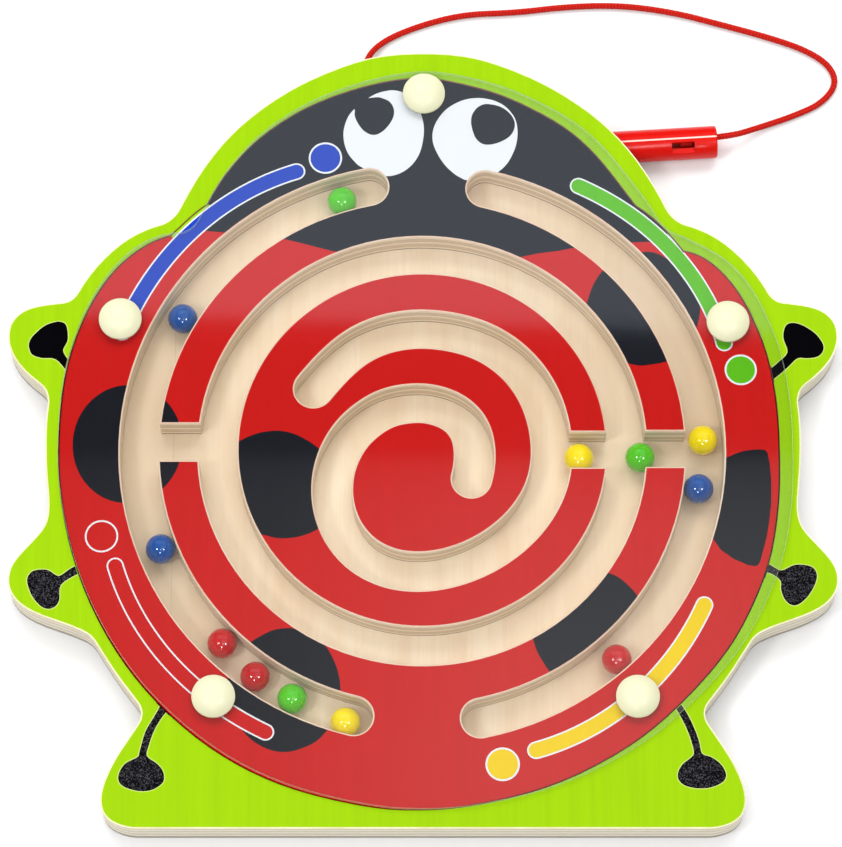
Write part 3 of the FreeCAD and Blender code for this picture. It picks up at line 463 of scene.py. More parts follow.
m_cover = cover_material("clear_acrylic", False)
m_cover_edge = cover_material("acrylic_edge", True)
m_cap = plastic("cream_plastic", tint(lin(255, 253, 212), 0.64), 0.34, 0.0, 0.012, 0.12, 700)
m_wand = plastic("red_plastic", tint(lin(242, 14, 0), 0.62), 0.22, 0.0, 0.03, 0.08, 600, spec=0.2)
# pale pink for the seam groove's upper flank: a painted highlight
m_seam_highlight = plastic("red_plastic_seam_highlight", tint(lin(255, 214, 204), 1.0), 0.3, 0.0, 0.03, 0.08, 600)
# lighter orange red for the bore: painted light, the glow through the plastic
m_wand_inside_glow = plastic("red_plastic_inside_glow", tint(lin(255, 60, 30), 0.95), 0.45, 0.0, 0.03, 0.1, 600)
m_steel = metal("zinc_steel", lin(196, 196, 190), 0.32)
m_magnet = metal("magnet_ferrite", lin(70, 70, 74), 0.5)
m_cord = thread("red_cord", tint(lin(255, 40, 12), 0.7))
m_cord_dark = thread("red_cord_shaded", tint(lin(206, 10, 4), K))
m_knot = thread("red_knot", tint(lin(230, 26, 18), K))
ENAMEL = {
    "blue": enamel("enamel_blue", tint(lin(4, 84, 172), 0.72)),
    "green": enamel("enamel_green", tint(lin(92, 214, 30), 0.75)),
    "yellow": enamel("enamel_yellow", tint(lin(255, 226, 0), 0.85)),
    "red": enamel("enamel_red", tint(lin(222, 18, 26), 0.7)),
}

# --------------------------------------------------------------- cord piece
bv, bf, cord_path, cord_s, cord_slots = braid(cord_line)
cord = make("cord_braid", bv, bf, [m_cord, m_cord_dark], cord_slots, smooth=60)
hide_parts("wand_cord")
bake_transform(cord)


# ------------------------------------------------------- outlines of the CAD
def cad_tris(node):
    """The node's corners in millimetres, each place once, and its triangles."""
    me = nodes[node].data
    me.calc_loop_triangles()
    co = np.zeros(len(me.vertices) * 3)
    me.vertices.foreach_get("co", co)
    co = co.reshape(-1, 3) * 1000.0
    tri = np.zeros(len(me.loop_triangles) * 3, np.int32)
    me.loop_triangles.foreach_get("vertices", tri)
    tri = tri.reshape(-1, 3)
    key = np.round(co * 500).astype(np.int64)
    _, first, back = np.unique(key, axis=0, return_index=True, return_inverse=True)
    back = back.ravel()
    tri = back[tri]
    tri = tri[(tri[:, 0] != tri[:, 1]) & (tri[:, 1] != tri[:, 2]) & (tri[:, 0] != tri[:, 2])]
    return co[first], tri


def loops_of(tris):
    """Closed boundary loops of a set of triangles, inside on the left."""
    edges = {}
    for a, b, c in tris:
        for u, v in ((a, b), (b, c), (c, a)):
            edges[(int(u), int(v))] = True
    nxt = {}
    for u, v in edges:
        if (v, u) not in edges:
            nxt.setdefault(u, []).append(v)
    loops = []
    while nxt:
        s = next(iter(nxt))
        loop, cur = [s], nxt[s].pop()
        if not nxt[s]:
            del nxt[s]
        while cur != s:
            loop.append(cur)
            n = nxt[cur].pop()
            if not nxt[cur]:
                del nxt[cur]
            cur = n
        loops.append(loop)
    return loops


def inset(P, w):
    """A closed 2-D loop moved to its left by w, mitred."""
    d = np.roll(P, -1, 0) - P
    d /= np.maximum(np.linalg.norm(d, axis=1), 1e-9)[:, None]
    n1 = np.stack([-d[:, 1], d[:, 0]], 1)
    n0 = np.roll(n1, 1, 0)
    k = 1.0 + (n0 * n1).sum(1)
    return P + (n0 + n1) / np.maximum(k, 0.35)[:, None] * w


def area(P):
    x, y = P[:, 0], P[:, 1]
    return 0.5 * float((x * np.roll(y, -1) - np.roll(x, -1) * y).sum())


def inside(pts, loops):
    """Even-odd test of points against closed loops."""
    odd = np.zeros(len(pts), bool)
    x, y = pts[:, 0], pts[:, 1]
    for P in loops:
        Q = np.roll(P, -1, 0)
        for (x0, y0), (x1, y1) in zip(P, Q):
            if y0 == y1:
                continue
            m = (y0 > y) != (y1 > y)
            if m.any():
                xs = x0 + (y[m] - y0) * (x1 - x0) / (y1 - y0)
                idx = np.nonzero(m)[0][x[m] < xs]
                odd[idx] ^= True
    return odd


# -------------------------------------------------------------- printed art
CX, CY = -0.3, -6.4


def smooth_loop(points, per=6):
    """A closed Catmull-Rom curve through the points."""
    P = np.array(points, float)
    n, out = len(P), []
    for i in range(n):
        a, b, c, d = P[(i - 1) % n], P[i], P[(i + 1) % n], P[(i + 2) % n]
        for k in range(per):
            t = k / per
            out.append(0.5 * (2 * b + (c - a) * t + (2 * a - 5 * b + 4 * c - d) * t * t + (3 * b - a - 3 * c + d) * t ** 3))
    return np.array(out)


def circle(x, y, r, n=72):
    t = np.linspace(0, 2 * math.pi, n, endpoint=False)
    return np.stack([x + r * np.cos(t), y + r * np.sin(t)], 1)


def ellipse(x, y, a, b, n=90):
    t = np.linspace(0, 2 * math.pi, n, endpoint=False)
    return np.stack([x + a * np.cos(t), y + b * np.sin(t)], 1)


def bar(knots, half, n=70):
    """A round-ended band along an arc about the maze centre; knots are (degrees, radius)."""
    deg = np.array([k[0] for k in knots], float)
    rad = np.array([k[1] for k in knots], float)
    coef = np.polyfit(deg, rad, min(3, len(knots) - 1))
    t = np.linspace(deg[0], deg[-1], n)
    r = np.polyval(coef, t)
    a = np.radians(t)
    P = np.stack([CX + r * np.cos(a), CY + r * np.sin(a)], 1)
    d = np.gradient(P, axis=0)
    d /= np.linalg.norm(d, axis=1)[:, None]
    nrm = np.stack([-d[:, 1], d[:, 0]], 1)
    out = list(P + nrm * half)
    for end, dd, sgn in ((P[-1], d[-1], 1), (P[0], -d[0], 1)):
        base = math.atan2(dd[1], dd[0])
        for k in np.linspace(math.pi / 2, -math.pi / 2, 16)[1:-1]:
            out.append(end + half * np.array([math.cos(base + k), math.sin(base + k)]))
        if end is P[-1] or np.allclose(end, P[-1]):
            out += list((P - nrm * half)[::-1])
    return np.array(out)


HEAD_BLACK = np.array([
    (-110, 75.2), (-77, 74.1), (-71.3, 73.6), (-60, 72.8), (-50, 71.2), (-45.7, 70.2), (-39.4, 68.5), (-32.3, 66.6),
    (0, 60), (33.9, 64.2), (41, 65.7), (48.5, 66.7), (52.1, 67.5), (62, 69.0), (73, 69.8), (80, 70.0), (110, 69.5),
    (110, 160), (-110, 160)], float)
SPOT_LEFT = ellipse(-103.3, -4.9, 19.2, 21.6)
SPOT_MIDDLE = smooth_loop([
    (-66, -6.0), (-63.3, -3.4), (-58.4, -1.2), (-54.2, -0.3), (-50.4, -0.1), (-46.2, -0.9), (-42.3, -2.6), (-36.7, -6.4),
    (-31.5, -13), (-30.2, -21), (-32, -30), (-36.5, -35.7), (-41.7, -38.2), (-46, -39.1), (-50, -39.2), (-53.9, -38.4),
    (-60, -36), (-67, -28), (-69.5, -16)])
SPOT_UPPER = smooth_loop([
    (57.4, 44), (58.4, 49), (60.2, 54), (63, 58.5), (67, 62.4), (72, 65.0), (77.2, 66.1), (81.1, 66.1), (85.5, 64.2),
    (90.5, 59.5), (95, 53), (97.6, 46.5), (97.4, 42.0), (96, 37), (93, 31), (89, 27), (85, 25.2), (78.3, 24.0),
    (75.0, 24.0), (71.3, 25.2), (66, 29), (60.5, 36)])
SPOT_RIGHT = np.array([
    (114.6, -7.1), (117.5, -6.9), (119.4, -7.1), (120.3, -8.1), (121.0, -12), (121.4, -18), (121.2, -26.8), (120.3, -33.5),
    (119.4, -38.6), (116.9, -47.6), (116.2, -48.8), (115.2, -49.3), (112.6, -48.9), (107.8, -46.7), (103.4, -43.5),
    (100.7, -39.5), (96, -34), (95, -20), (99, -13.2), (103, -10.9), (105.8, -10.0), (109.3, -8.4), (112, -7.5)], float)
SPOT_LOWER_RIGHT = smooth_loop([
    (36.3, -70), (37.9, -75.3), (39.2, -79.6), (41.6, -84.0), (43.7, -87.0), (49, -92), (60, -93), (70, -83), (76, -70),
    (75, -62.6), (73.2, -58.6), (68.8, -54.1), (64.7, -51.9), (58, -51), (47, -56), (39, -63)])
SPOT_LOWER_LEFT = smooth_loop([
    (-57.6, -75.2), (-52.1, -72.3), (-47.5, -71.5), (-44.2, -71.7), (-39, -73.5), (-34.5, -77), (-32.3, -79.8),
    (-30.2, -84.2), (-28.9, -88.7), (-28.4, -94), (-29.1, -100), (-31, -104.6), (-33.6, -108.5), (-36, -111.0),
    (-38.7, -112.8), (-43.9, -114.8), (-48, -115.3), (-51.1, -114.9), (-54.1, -113.9), (-57.9, -111.7), (-61.3, -108.5),
    (-64.3, -104.5), (-66.6, -99), (-67.4, -93), (-66.6, -87), (-64, -82), (-61, -78)])
EYE_LEFT = smooth_loop([
    (-29.4, 112.0), (-28.7, 115.1), (-27.5, 118), (-25.8, 120.2), (-24.0, 122.0), (-21.8, 123.9), (-17.6, 126.5),
    (-14.0, 127.7), (-10.8, 128.1), (-7.2, 127.3), (-4.0, 125.2), (-1.6, 122.2), (-0.2, 118.7), (0.7, 115.1), (0.9, 112),
    (0.7, 109.3), (0, 105.5), (-1.2, 102.3), (-3.2, 99.2), (-6.1, 96.6), (-9, 95.1), (-12, 94.4), (-15, 94.6),
    (-18, 95.5), (-20.7, 96.8), (-23.7, 98.6), (-25.8, 100.7), (-27.5, 103), (-28.6, 105.5), (-29.3, 108.5)])
PUPIL_LEFT = smooth_loop([
    (-19.3, 124.4), (-16.1, 124.7), (-14.3, 124.2), (-12.6, 123.4), (-11.4, 122.1), (-10.7, 120.3), (-10.7, 118.1),
    (-11.7, 115.6), (-13.9, 112.7), (-16.4, 111.0), (-18.6, 110.9), (-21.1, 112.4), (-23.0, 115), (-24.2, 117.9),
    (-24.3, 120.4), (-26.6, 123.0), (-24.2, 126.4), (-21.4, 124.2)])
EYE_RIGHT = smooth_loop([
    (15.3, 93.0), (13.0, 94.0), (10.6, 95.6), (7.8, 98.3), (5.5, 101.5), (3.6, 105.3), (2.7, 108.6), (2.8, 112.4),
    (4.2, 116.3), (7.1, 120.4), (10.7, 123.1), (15.2, 125.0), (20.0, 125.5), (24, 124.9), (27.0, 123.8), (29.5, 122.2),
    (31.8, 119.7), (33.3, 117.0), (34.0, 113.7), (34.0, 109.7), (33.2, 105.9), (31.7, 102.2), (29.9, 99.2), (27.0, 96.4),
    (23, 94), (19, 92.8)])
PUPIL_RIGHT = smooth_loop([
    (21.8, 122.2), (24.7, 122.0), (27.3, 121.2), (29.7, 119.6), (31.5, 117.4), (32.3, 114.9), (31.8, 112.2), (30.0, 109.8),
    (26.6, 107.9), (23.2, 107.1), (20.8, 107.5), (18.9, 109.2), (17.8, 111.7), (17.1, 115.0), (17.4, 118.1), (19.2, 120.9)])
BLUE_BAR = [(113.5, 112.3), (120, 113.4), (126, 114.1), (138.4, 114.6), (150, 114.3), (158, 114.0)]
GREEN_BAR = [(60.3, 112.3), (52.2, 113.3), (42.1, 114.7), (30, 114.3), (20.0, 113.1)]
YELLOW_BAR = [(-30.2, 112.9), (-36.4, 113.9), (-42.9, 115.0), (-57, 115.9), (-70.2, 115.1)]
BARE_BAR = [(201.9, 114.7), (209, 115.7), (217, 116.1), (229, 116.0), (242.2, 115.2)]

EYE_LEFT = (EYE_LEFT - [-14.2, 111.2]) * [0.947, 0.972] + [-14.0, 111.2]
EYE_RIGHT = (EYE_RIGHT - [18.4, 109.2]) * [0.966, 0.966] + [18.6, 108.9]
PUPIL_LEFT = inset(PUPIL_LEFT, 0.25 if area(PUPIL_LEFT) < 0 else -0.25)
PUPIL_RIGHT = inset(PUPIL_RIGHT, 0.2 if area(PUPIL_RIGHT) < 0 else -0.2) + [0.3, -0.1]

SHOULDER = np.array([(CX + r * math.cos(math.radians(a)), CY + r * math.sin(math.radians(a)))
                     for r, sweep_a in ((115.4, np.linspace(129.9, 138.6, 12)), (126.0, np.linspace(138.6, 129.9, 12)))
                     for a in sweep_a])

# (outline, material) in the order they are printed
PANEL_ART = [
    (HEAD_BLACK, m_black), (SHOULDER, m_green), (SPOT_LEFT, m_black), (SPOT_MIDDLE, m_black), (SPOT_UPPER, m_black), (SPOT_RIGHT, m_black),
    (SPOT_LOWER_RIGHT, m_black), (SPOT_LOWER_LEFT, m_black),
    (EYE_LEFT, m_white), (PUPIL_LEFT, m_black), (EYE_RIGHT, m_white), (PUPIL_RIGHT, m_black),
    (bar(BLUE_BAR, 3.15), m_white), (bar(BLUE_BAR, 2.6), m_blue), (circle(-34.8, 101.7, 5.95), m_white), (circle(-34.8, 101.7, 5.3), m_blue),
    (bar(GREEN_BAR, 3.1), m_white), (bar(GREEN_BAR, 2.55), m_bar_green), (circle(111.6, 22.3, 5.65), m_white), (circle(111.6, 22.3, 5.0), m_bar_green),
    (bar(YELLOW_BAR, 3.1), m_white), (bar(YELLOW_BAR, 2.55), m_yellow), (circle(27.2, -119.6, 5.9), m_white), (circle(27.2, -119.6, 5.25), m_yellow),
    (bar(BARE_BAR, 3.0), m_white), (bar(BARE_BAR, 2.45), m_red), (circle(-111.7, -38.5, 5.8), m_white), (circle(-111.7, -38.5, 5.2), m_red),
]
LEGS = {
    "upper_left": [(-120.1, 22.2), (-124.5, 25.6), (-126.5, 28.6), (-126.6, 30.2), (-125.2, 33.6), (-125.8, 38.6), (-127.8, 40.0),
                   (-130.1, 39.8), (-133.6, 38.3), (-137.4, 34.6), (-138.6, 32.0), (-138.3, 29.8), (-137.2, 27.9), (-134, 26.8),
                   (-129.6, 26.5), (-126.4, 23.6), (-121.7, 17.4), (-118.6, 17.0)],
    "lower_left": [(-117.5, -48.3), (-121.9, -50.1), (-125.5, -52.7), (-127.2, -52.6), (-129.6, -51.0), (-131.4, -50.6), (-133.6, -50.7),
                   (-135.6, -51.4), (-136.9, -53.4), (-136.8, -55.8), (-135.3, -59.7), (-132.8, -62.9), (-130.3, -64.4),
                   (-127.8, -64.0), (-126.0, -61.6), (-125.5, -56.0), (-120.2, -52.2), (-117, -50.9)],
    "bottom_left": [(-89.2, -97.5), (-90.9, -100.6), (-92.6, -103.6), (-95.2, -108.5), (-97.0, -115.4), (-97.6, -117.1), (-101.5, -119.2),
                    (-103.3, -121.5), (-104.1, -124.1), (-103.4, -126.3), (-100.9, -127.9), (-96.5, -128.9), (-92.9, -128.5),
                    (-90.4, -127.2), (-88.7, -125.2), (-89.1, -122.0), (-91.2, -119.4), (-94.6, -116.8), (-94.2, -113.4), (-92.5, -108.2),
                    (-90.4, -104.1), (-88.1, -100.9), (-86.4, -98.7)],
    "bottom_right": [(85.2, -97.6), (87.2, -100.4), (89.8, -105.5), (91.6, -110.1), (92.8, -115.2), (92.0, -117.1), (88.9, -119.6),
                     (87.3, -122.4), (87.4, -124.9), (89.3, -126.8), (93, -127.8), (97.6, -127.7), (101.4, -126.3), (103.2, -124.5),
                     (103.2, -122.2), (101.5, -119.4), (98.6, -117.2), (95.4, -115.9), (94.4, -111.5), (93.0, -107.4), (90.9, -102.6),
                     (88.3, -98.4), (86.2, -96.2)],
    "lower_right": [(117.0, -50.4), (121.0, -52.0), (123.9, -54.5), (124.0, -57.5), (125.0, -60.8), (127.0, -62.9), (129.2, -63.1),
                    (131.6, -61.5), (133.9, -58.8), (135.6, -55.6), (136.3, -52.6), (135.3, -50.1), (132.6, -49.0), (128.6, -49.0),
                    (124.3, -50.9), (121.3, -49.6), (117.5, -47.2)],
    "upper_right": [(120.0, 17.5), (123.0, 19.0), (127.6, 22.9), (131.5, 26.6), (135.0, 26.7), (138.4, 27.2), (140.4, 29.0),
                    (140.6, 31.8), (137.9, 35.8), (133.0, 39.0), (129.3, 39.5), (127.5, 37.8), (127.0, 33.9), (128.3, 28.8),
                    (125.0, 25.1), (121.6, 22.2), (118.5, 20.5)],
}


def grown(P, w):
    """A closed curve moved outward by w."""
    return inset(P, -w if area(P) > 0 else w)


FRAME_ART = []
for where, pts in LEGS.items():
    P = smooth_loop(pts, 4)
    P = grown(P, 0.14)
    FRAME_ART += [(grown(P, 0.26), m_outline), (P, m_feet if where.startswith("upper") else m_feet_glints)]


# ------------------------------------------------------------ wooden pieces
def printed(name, node, body, base, art, lip, wall, face, inked, side=None, drop=0.32, width=0.5):
    """A wood piece: the CAD's walls, a sanded rim of bare wood, and the printed top."""
    co, tri = cad_tris(node)
    top_z = co[:, 2].max()
    on_top = (co[tri][:, :, 2] > top_z - 0.01).all(1)
    loops = loops_of(tri[on_top])
    rest = tri[~on_top]
    mats = [base, lip, wall, face] + ([side] if side else [])
    for _, m in art:
        if m not in mats:
            mats.append(m)
    co = co.copy()
    verts = [v for v in co]
    outer_loops, widths, dipped = [], [], []
    for lp in loops:
        P = co[lp][:, :2]
        size = np.linalg.norm(np.roll(P, -1, 0) - P, axis=1).sum()
        small = size < 30
        dyed = inked(P)
        outer_loops.append(P)
        dipped.append(dyed)
        widths.append(0.12 if small else 0.2 if dyed else width)
        for i in lp:
            verts[i] = np.array([co[i][0], co[i][1], top_z - (0.08 if small else 0.13 if dyed else drop)])
    rims = [inset(P, w) for P, w in zip(outer_loops, widths)]
    pts, edges, owner = [], [], []
    for li, R in enumerate(rims):
        n0 = len(pts)
        pts += [Vector((float(x), float(y))) for x, y in R]
        for k in range(len(R)):
            edges.append((n0 + k, n0 + (k + 1) % len(R)))
            owner.append((li, k))
    for P, _ in art:
        n0 = len(pts)
        pts += [Vector((float(x), float(y))) for x, y in P]
        for k in range(len(P)):
            edges.append((n0 + k, n0 + (k + 1) % len(P)))
            owner.append(None)
    V, E, F, OV, OE, OF = delaunay_2d_cdt(pts, edges, [], 0, 1e-5)
    V = np.array([v[:] for v in V], float)
    F = np.array(F, int)
    cen = V[F].mean(1)
    keep = inside(cen, rims)
    F, cen = F[keep], cen[keep]
    index = np.zeros(len(F), int)
    for P, m in art:
        lo, hi = P.min(0), P.max(0)
        near = np.nonzero(((cen >= lo) & (cen <= hi)).all(1))[0]
        if len(near):
            hit = near[inside(cen[near], [P])]
            index[hit] = mats.index(m)
    n_top = len(verts)
    used = np.unique(F)
    on_edge = {}
    for (u, v), who in zip(E, OE):
        for w in who:
            if w < len(owner) and owner[w] is not None:
                on_edge.setdefault(owner[w], set()).update((u, v))
    for s in on_edge.values():
        used = np.union1d(used, list(s))
    new_id = {int(u): n_top + i for i, u in enumerate(used)}
    for u in used:
        verts.append(np.array([V[u][0], V[u][1], top_z]))
    faces = [tuple(t) for t in rest]
    nrm = np.cross(co[rest[:, 1]] - co[rest[:, 0]], co[rest[:, 2]] - co[rest[:, 0]])
    nrm /= np.maximum(np.linalg.norm(nrm, axis=1), 1e-12)[:, None]
    mid = co[rest].mean(1)
    far = np.hypot(mid[:, 0] - CX, mid[:, 1] - CY) > 108.5
    slots = []
    for k in range(len(rest)):
        if abs(nrm[k][2]) > 0.7:
            slots.append(3)
        elif side and far[k]:
            slots.append(4)
        else:
            slots.append(2)
    for t, m in zip(F, index):
        faces.append(tuple(new_id[int(i)] for i in t))
        slots.append(int(m))
    for li, lp in enumerate(loops):
        R = rims[li]
        n = len(lp)
        for k in range(n):
            a, b = lp[k], lp[(k + 1) % n]
            ids = list(on_edge.get((li, k), ()))
            if not ids:
                continue
            d = R[(k + 1) % n] - R[k]
            ids.sort(key=lambda i: float(np.dot(V[i] - R[k], d)))
            ring = [new_id[i] for i in ids]
            faces.append((a, b) + tuple(ring[::-1]))
            tone = 1
            if dipped[li]:
                q = (0.5 * (R[k] + R[(k + 1) % n]))[None]
                tone = 0
                for P, m in art:
                    if inside(q, [P])[0]:
                        tone = mats.index(m)
            slots.append(tone)
    ob = make(name, verts, faces, mats, slots, smooth=28)
    me = ob.data
    bm_clean(me)
    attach(ob, body)
    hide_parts(node)
    return ob, outer_loops


def bm_clean(me):
    import bmesh
    bm = bmesh.new()
    bm.from_mesh(me)
    bmesh.ops.delete(bm, geom=[v for v in bm.verts if not v.link_faces], context="VERTS")
    bm.to_mesh(me)
    bm.free()


panel, _ = printed("maze_panel_print", "maze_panel", "board", m_red, PANEL_ART, m_lip, m_wall, m_floor_wood,
                   lambda P: abs(area(P)) > 35000, m_red_side)
island, _ = printed("island_print", "spiral_island", "board", m_red, PANEL_ART[2:8], m_lip, m_wall, m_floor_wood,
                    lambda P: False)
board, _ = printed("frame_print", "board_frame", "board", m_green, FRAME_ART, m_lip_pale, m_side, m_floor_wood,
                   lambda P: area(P) < -20000)


# -------------------------------------------------------------- clear cover
def sheet_piece(name, node, body, face, edge, bevel=0.14):
    """A flat sheet with polished chamfers round every edge of both faces."""
    co, tri = cad_tris(node)
    z1, z0 = co[:, 2].max(), co[:, 2].min()
    top = tri[(co[tri][:, :, 2] > z1 - 0.01).all(1)]
    loops = loops_of(top)
    z0 += 0.06
    verts, faces, slots = [], [], []
    rims = []
    for lp in loops:
        P = co[lp][:, :2]
        R = inset(P, bevel)
        rims.append(R)
        n, n0 = len(P), len(verts)
        for z, Q in ((z1, R), (z1 - bevel, P), (z0 + bevel * 0.5, P), (z0, inset(P, bevel * 0.5))):
            verts += [(x, y, z) for x, y in Q]
        for ring in range(3):
            for k in range(n):
                a, b = n0 + ring * n + k, n0 + ring * n + (k + 1) % n
                faces.append((a, a + n, b + n, b))
                slots.append(1)
    for z, which in ((z1, 0), (z0, 3)):
        pts, edges = [], []
        n0 = 0
        ids = []
        for lp in loops:
            n = len(lp)
            ring = verts[n0 + which * n: n0 + (which + 1) * n]
            s = len(pts)
            pts += [Vector((float(x), float(y))) for x, y, _ in ring]
            ids += list(range(n0 + which * n, n0 + (which + 1) * n))
            edges += [(s + k, s + (k + 1) % n) for k in range(n)]
            n0 += 4 * n
        V, E, F, OV, OE, OF = delaunay_2d_cdt(pts, edges, [], 0, 1e-6)
        V = np.array([v[:] for v in V], float)
        F = np.array(F, int)
        rings = []
        s = 0
        for lp in loops:
            rings.append(np.array([p[:] for p in pts[s:s + len(lp)]]))
            s += len(lp)
        F = F[inside(V[F].mean(1), rings)]
        for t in F:
            f = tuple(ids[OV[int(i)][0]] for i in t)
            faces.append(f if which == 0 else f[::-1])
            slots.append(0)
    ob = make(name, verts, faces, [face, edge], slots, smooth=30)
    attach(ob, body)
    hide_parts(node)
    return ob


cover = sheet_piece("cover_sheet", "clear_cover", "board", m_cover, m_cover_edge)


# ------------------------------------------------------- carried-over nodes
def dress(node, mat):
    me = nodes[node].data
    if not me.materials:
        me.materials.append(mat)
    for i in range(len(me.materials)):
        me.materials[i] = mat


def lined(node, outer, inner):
    """A shell's outer skin in one material and its bore in another, a lighter orange red: painted light for the glow
    through the thin plastic. The upper flank of the seam groove gets a pale pink: a painted highlight.
    """
    me = nodes[node].data
    me.materials.clear()
    me.materials.append(outer)
    me.materials.append(inner)
    me.materials.append(m_seam_highlight)
    d = Vector((math.cos(TURN), math.sin(TURN), 0.0))
    c = Vector((0.1053, 0.1114, 0.0058))
    side = Vector((-d.y, d.x, 0.0))
    for p in me.polygons:
        v = p.center - c
        v -= d * v.dot(d)
        # the upper flank of the seam groove takes the painted highlight
        seam_highlight_face = v.length > 0.0054 and v.z > 0.0053 and abs(v.dot(side)) < 0.0004 and abs(p.normal.dot(side)) > 0.5
        p.material_index = 2 if seam_highlight_face else 1 if v.length < 0.0052 and p.normal.dot(v) < 0 else 0


def two_faced(node, flat, edge):
    """One material on the level faces and another on the sides."""
    me = nodes[node].data
    me.materials.clear()
    me.materials.append(flat)
    me.materials.append(edge)
    for p in me.polygons:
        p.material_index = 0 if abs(p.normal.z) > 0.7 else 1


two_faced("back_plate", m_floor_wood, m_back)
for where in ("top", "left", "right", "lower_left", "lower_right"):
    dress("screw_" + where, m_steel)
    dress("cap_" + where, m_cap)
for n in nodes:
    if n.startswith("ball_"):
        dress(n, ENAMEL[n.split("_")[1]])
for n in ("wand_shell_front", "wand_shell_back", "wand_nose"):
    dress(n, m_wand)
    o = nodes[n]
    weld = o.modifiers.new("weld", "WELD")
    weld.merge_threshold = 0.000004
    bev = o.modifiers.new("bevel", "BEVEL")
    bev.width = 0.00014
    bev.segments = 2
    bev.limit_method = "ANGLE"
    bev.angle_limit = math.radians(32)
    bev.harden_normals = False
for n in ("wand_shell_front", "wand_shell_back"):
    lined(n, m_wand, m_wand_inside_glow)
dress("wand_magnet", m_magnet)
dress("wand_knot", m_knot)
dress("board_knot", m_knot)

# -------------------------------------------------------------------- stage
fl = Mat("studio_floor", (0.78, 0.78, 0.78, 1.0), 0.9, 0.0)
fine = fl.noise(fl.scaled(40, 40, 40), 1.0, 2.0)
fl.color(fl.mix(fine, (0.775, 0.775, 0.777, 1.0), (0.785, 0.785, 0.785, 1.0)))
floor = make("studio_floor", [(-4000, -4000, 0), (4000, -4000, 0), (4000, 4000, 0), (-4000, 4000, 0)], [(0, 1, 2, 3)], [fl.m])
floor.location.z = -0.00005

world = bpy.data.worlds.new("studio")
scene.world = world
world.use_nodes = True
wt = world.node_tree
wt.nodes.clear()
wout = wt.nodes.new("ShaderNodeOutputWorld")
white = wt.nodes.new("ShaderNodeBackground")
white.inputs[0].default_value = (1, 1, 1, 1)
white.inputs[1].default_value = 1.05
soft = wt.nodes.new("ShaderNodeBackground")
soft.inputs[0].default_value = (0.98, 0.99, 1.0, 1)
soft.inputs[1].default_value = 0.86
gloss = wt.nodes.new("ShaderNodeBackground")
gloss.inputs[0].default_value = (0.95, 0.98, 1.0, 1)
gloss.inputs[1].default_value = 0.06
path = wt.nodes.new("ShaderNodeLightPath")
m1 = wt.nodes.new("ShaderNodeMixShader")
m2 = wt.nodes.new("ShaderNodeMixShader")
wt.links.new(path.outputs["Is Glossy Ray"], m1.inputs[0])
wt.links.new(soft.outputs[0], m1.inputs[1])
wt.links.new(gloss.outputs[0], m1.inputs[2])
wt.links.new(path.outputs["Is Camera Ray"], m2.inputs[0])
wt.links.new(m1.outputs[0], m2.inputs[1])
wt.links.new(white.outputs[0], m2.inputs[2])
wt.links.new(m2.outputs[0], wout.inputs[0])


def panel_light(name, centre, target, sx, sy, radiance, color=(1, 1, 1), glossy=True, diffuse=True):
    d = bpy.data.lights.new(name, "AREA")
    d.shape = "RECTANGLE"
    d.size, d.size_y = sx, sy
    d.color = color
    d.energy = radiance * math.pi * sx * sy
    o = bpy.data.objects.new(name, d)
    scene.collection.objects.link(o)
    o.location = centre
    v = Vector(target) - Vector(centre)
    o.rotation_euler = v.to_track_quat("-Z", "Y").to_euler()
    o.visible_camera = False
    o.visible_glossy = glossy
    o.visible_diffuse = diffuse
    return o


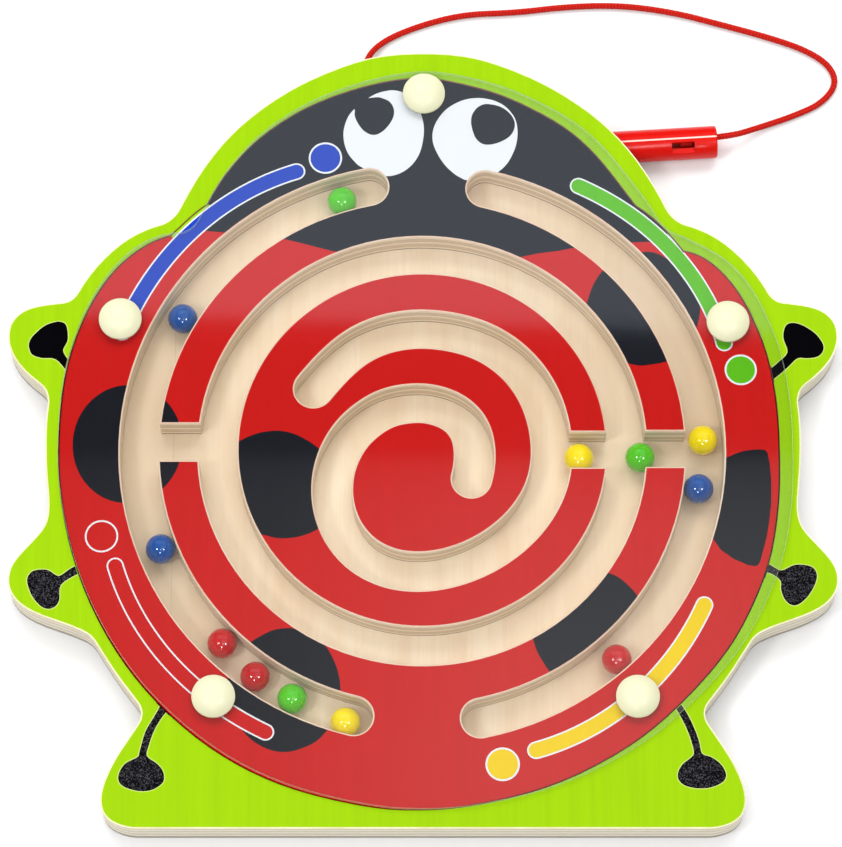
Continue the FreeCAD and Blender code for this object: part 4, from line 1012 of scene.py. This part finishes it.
# a wide overhead bank fills the tracks; the ceiling cards are only seen in the cover; three small boxes
# make the sharp highlights on the balls
panel_light("bank_front", (0, -0.55, 1.6), (0, -0.2, 0), 2.0, 1.1, 1.0, glossy=False)
panel_light("bank_back", (0, 1.0, 1.5), (0, 0.1, 0), 2.0, 0.9, 4.0, glossy=False)
card_front = panel_light("card_front", (0, -0.379, 1.5), (0, -0.379, 0), 2.6, 1.643, 0.62, diffuse=False)
card_back = panel_light("card_back", (0, 1.24, 1.5), (0, 1.24, 0), 2.6, 1.4, 0.78, (0.8, 0.9, 1.0), diffuse=False)
card_back.rotation_euler.rotate_axis("Z", math.radians(-1.5))
panel_light("box_left", (-0.85, -0.45, 1.5), (0, 0, 0), 0.32, 0.32, 23.0)
panel_light("box_right", (0.80, -0.60, 1.6), (0, 0, 0), 0.32, 0.32, 23.0, diffuse=False)
panel_light("strip", (0.3, -0.52, 1.75), (0.1, 0, 0), 0.9, 0.05, 10.0, diffuse=False)
panel_light("box_low", (-0.15, -1.25, 1.3), (0, 0, 0), 0.28, 0.28, 20.0, diffuse=False)


def fade(light, stops_x, stops_y):
    """Dim parts of a card: the factors run across and along it."""
    light.data.use_nodes = True
    t = light.data.node_tree
    em = [n for n in t.nodes if n.type == "EMISSION"][0]
    geo = t.nodes.new("ShaderNodeNewGeometry")
    sep = t.nodes.new("ShaderNodeSeparateXYZ")
    t.links.new(geo.outputs["Parametric"], sep.inputs[0])
    mul = t.nodes.new("ShaderNodeMath")
    mul.operation = "MULTIPLY"
    for k, stops in enumerate((stops_x, stops_y)):
        r = t.nodes.new("ShaderNodeValToRGB")
        e = r.color_ramp.elements
        while len(e) < len(stops):
            e.new(0.5)
        for i, (pos, v) in enumerate(stops):
            e[i].position = pos
            e[i].color = (v, v, v, 1.0)
        t.links.new(sep.outputs[k], r.inputs[0])
        t.links.new(r.outputs[0], mul.inputs[k])
    t.links.new(mul.outputs[0], em.inputs["Strength"])


fade(card_front, [(0.4, 0.3), (0.46, 0.5), (0.52, 1.0), (1.0, 1.0)],
     [(0.0, 0.4), (0.018, 0.62), (0.036, 0.72), (0.124, 1.0), (0.876, 1.0), (0.964, 0.72), (0.982, 0.62), (1.0, 0.4)])

scene.view_settings.view_transform = "Standard"
scene.view_settings.look = "None"
scene.view_settings.exposure = 0.0
scene.view_settings.gamma = 1.0
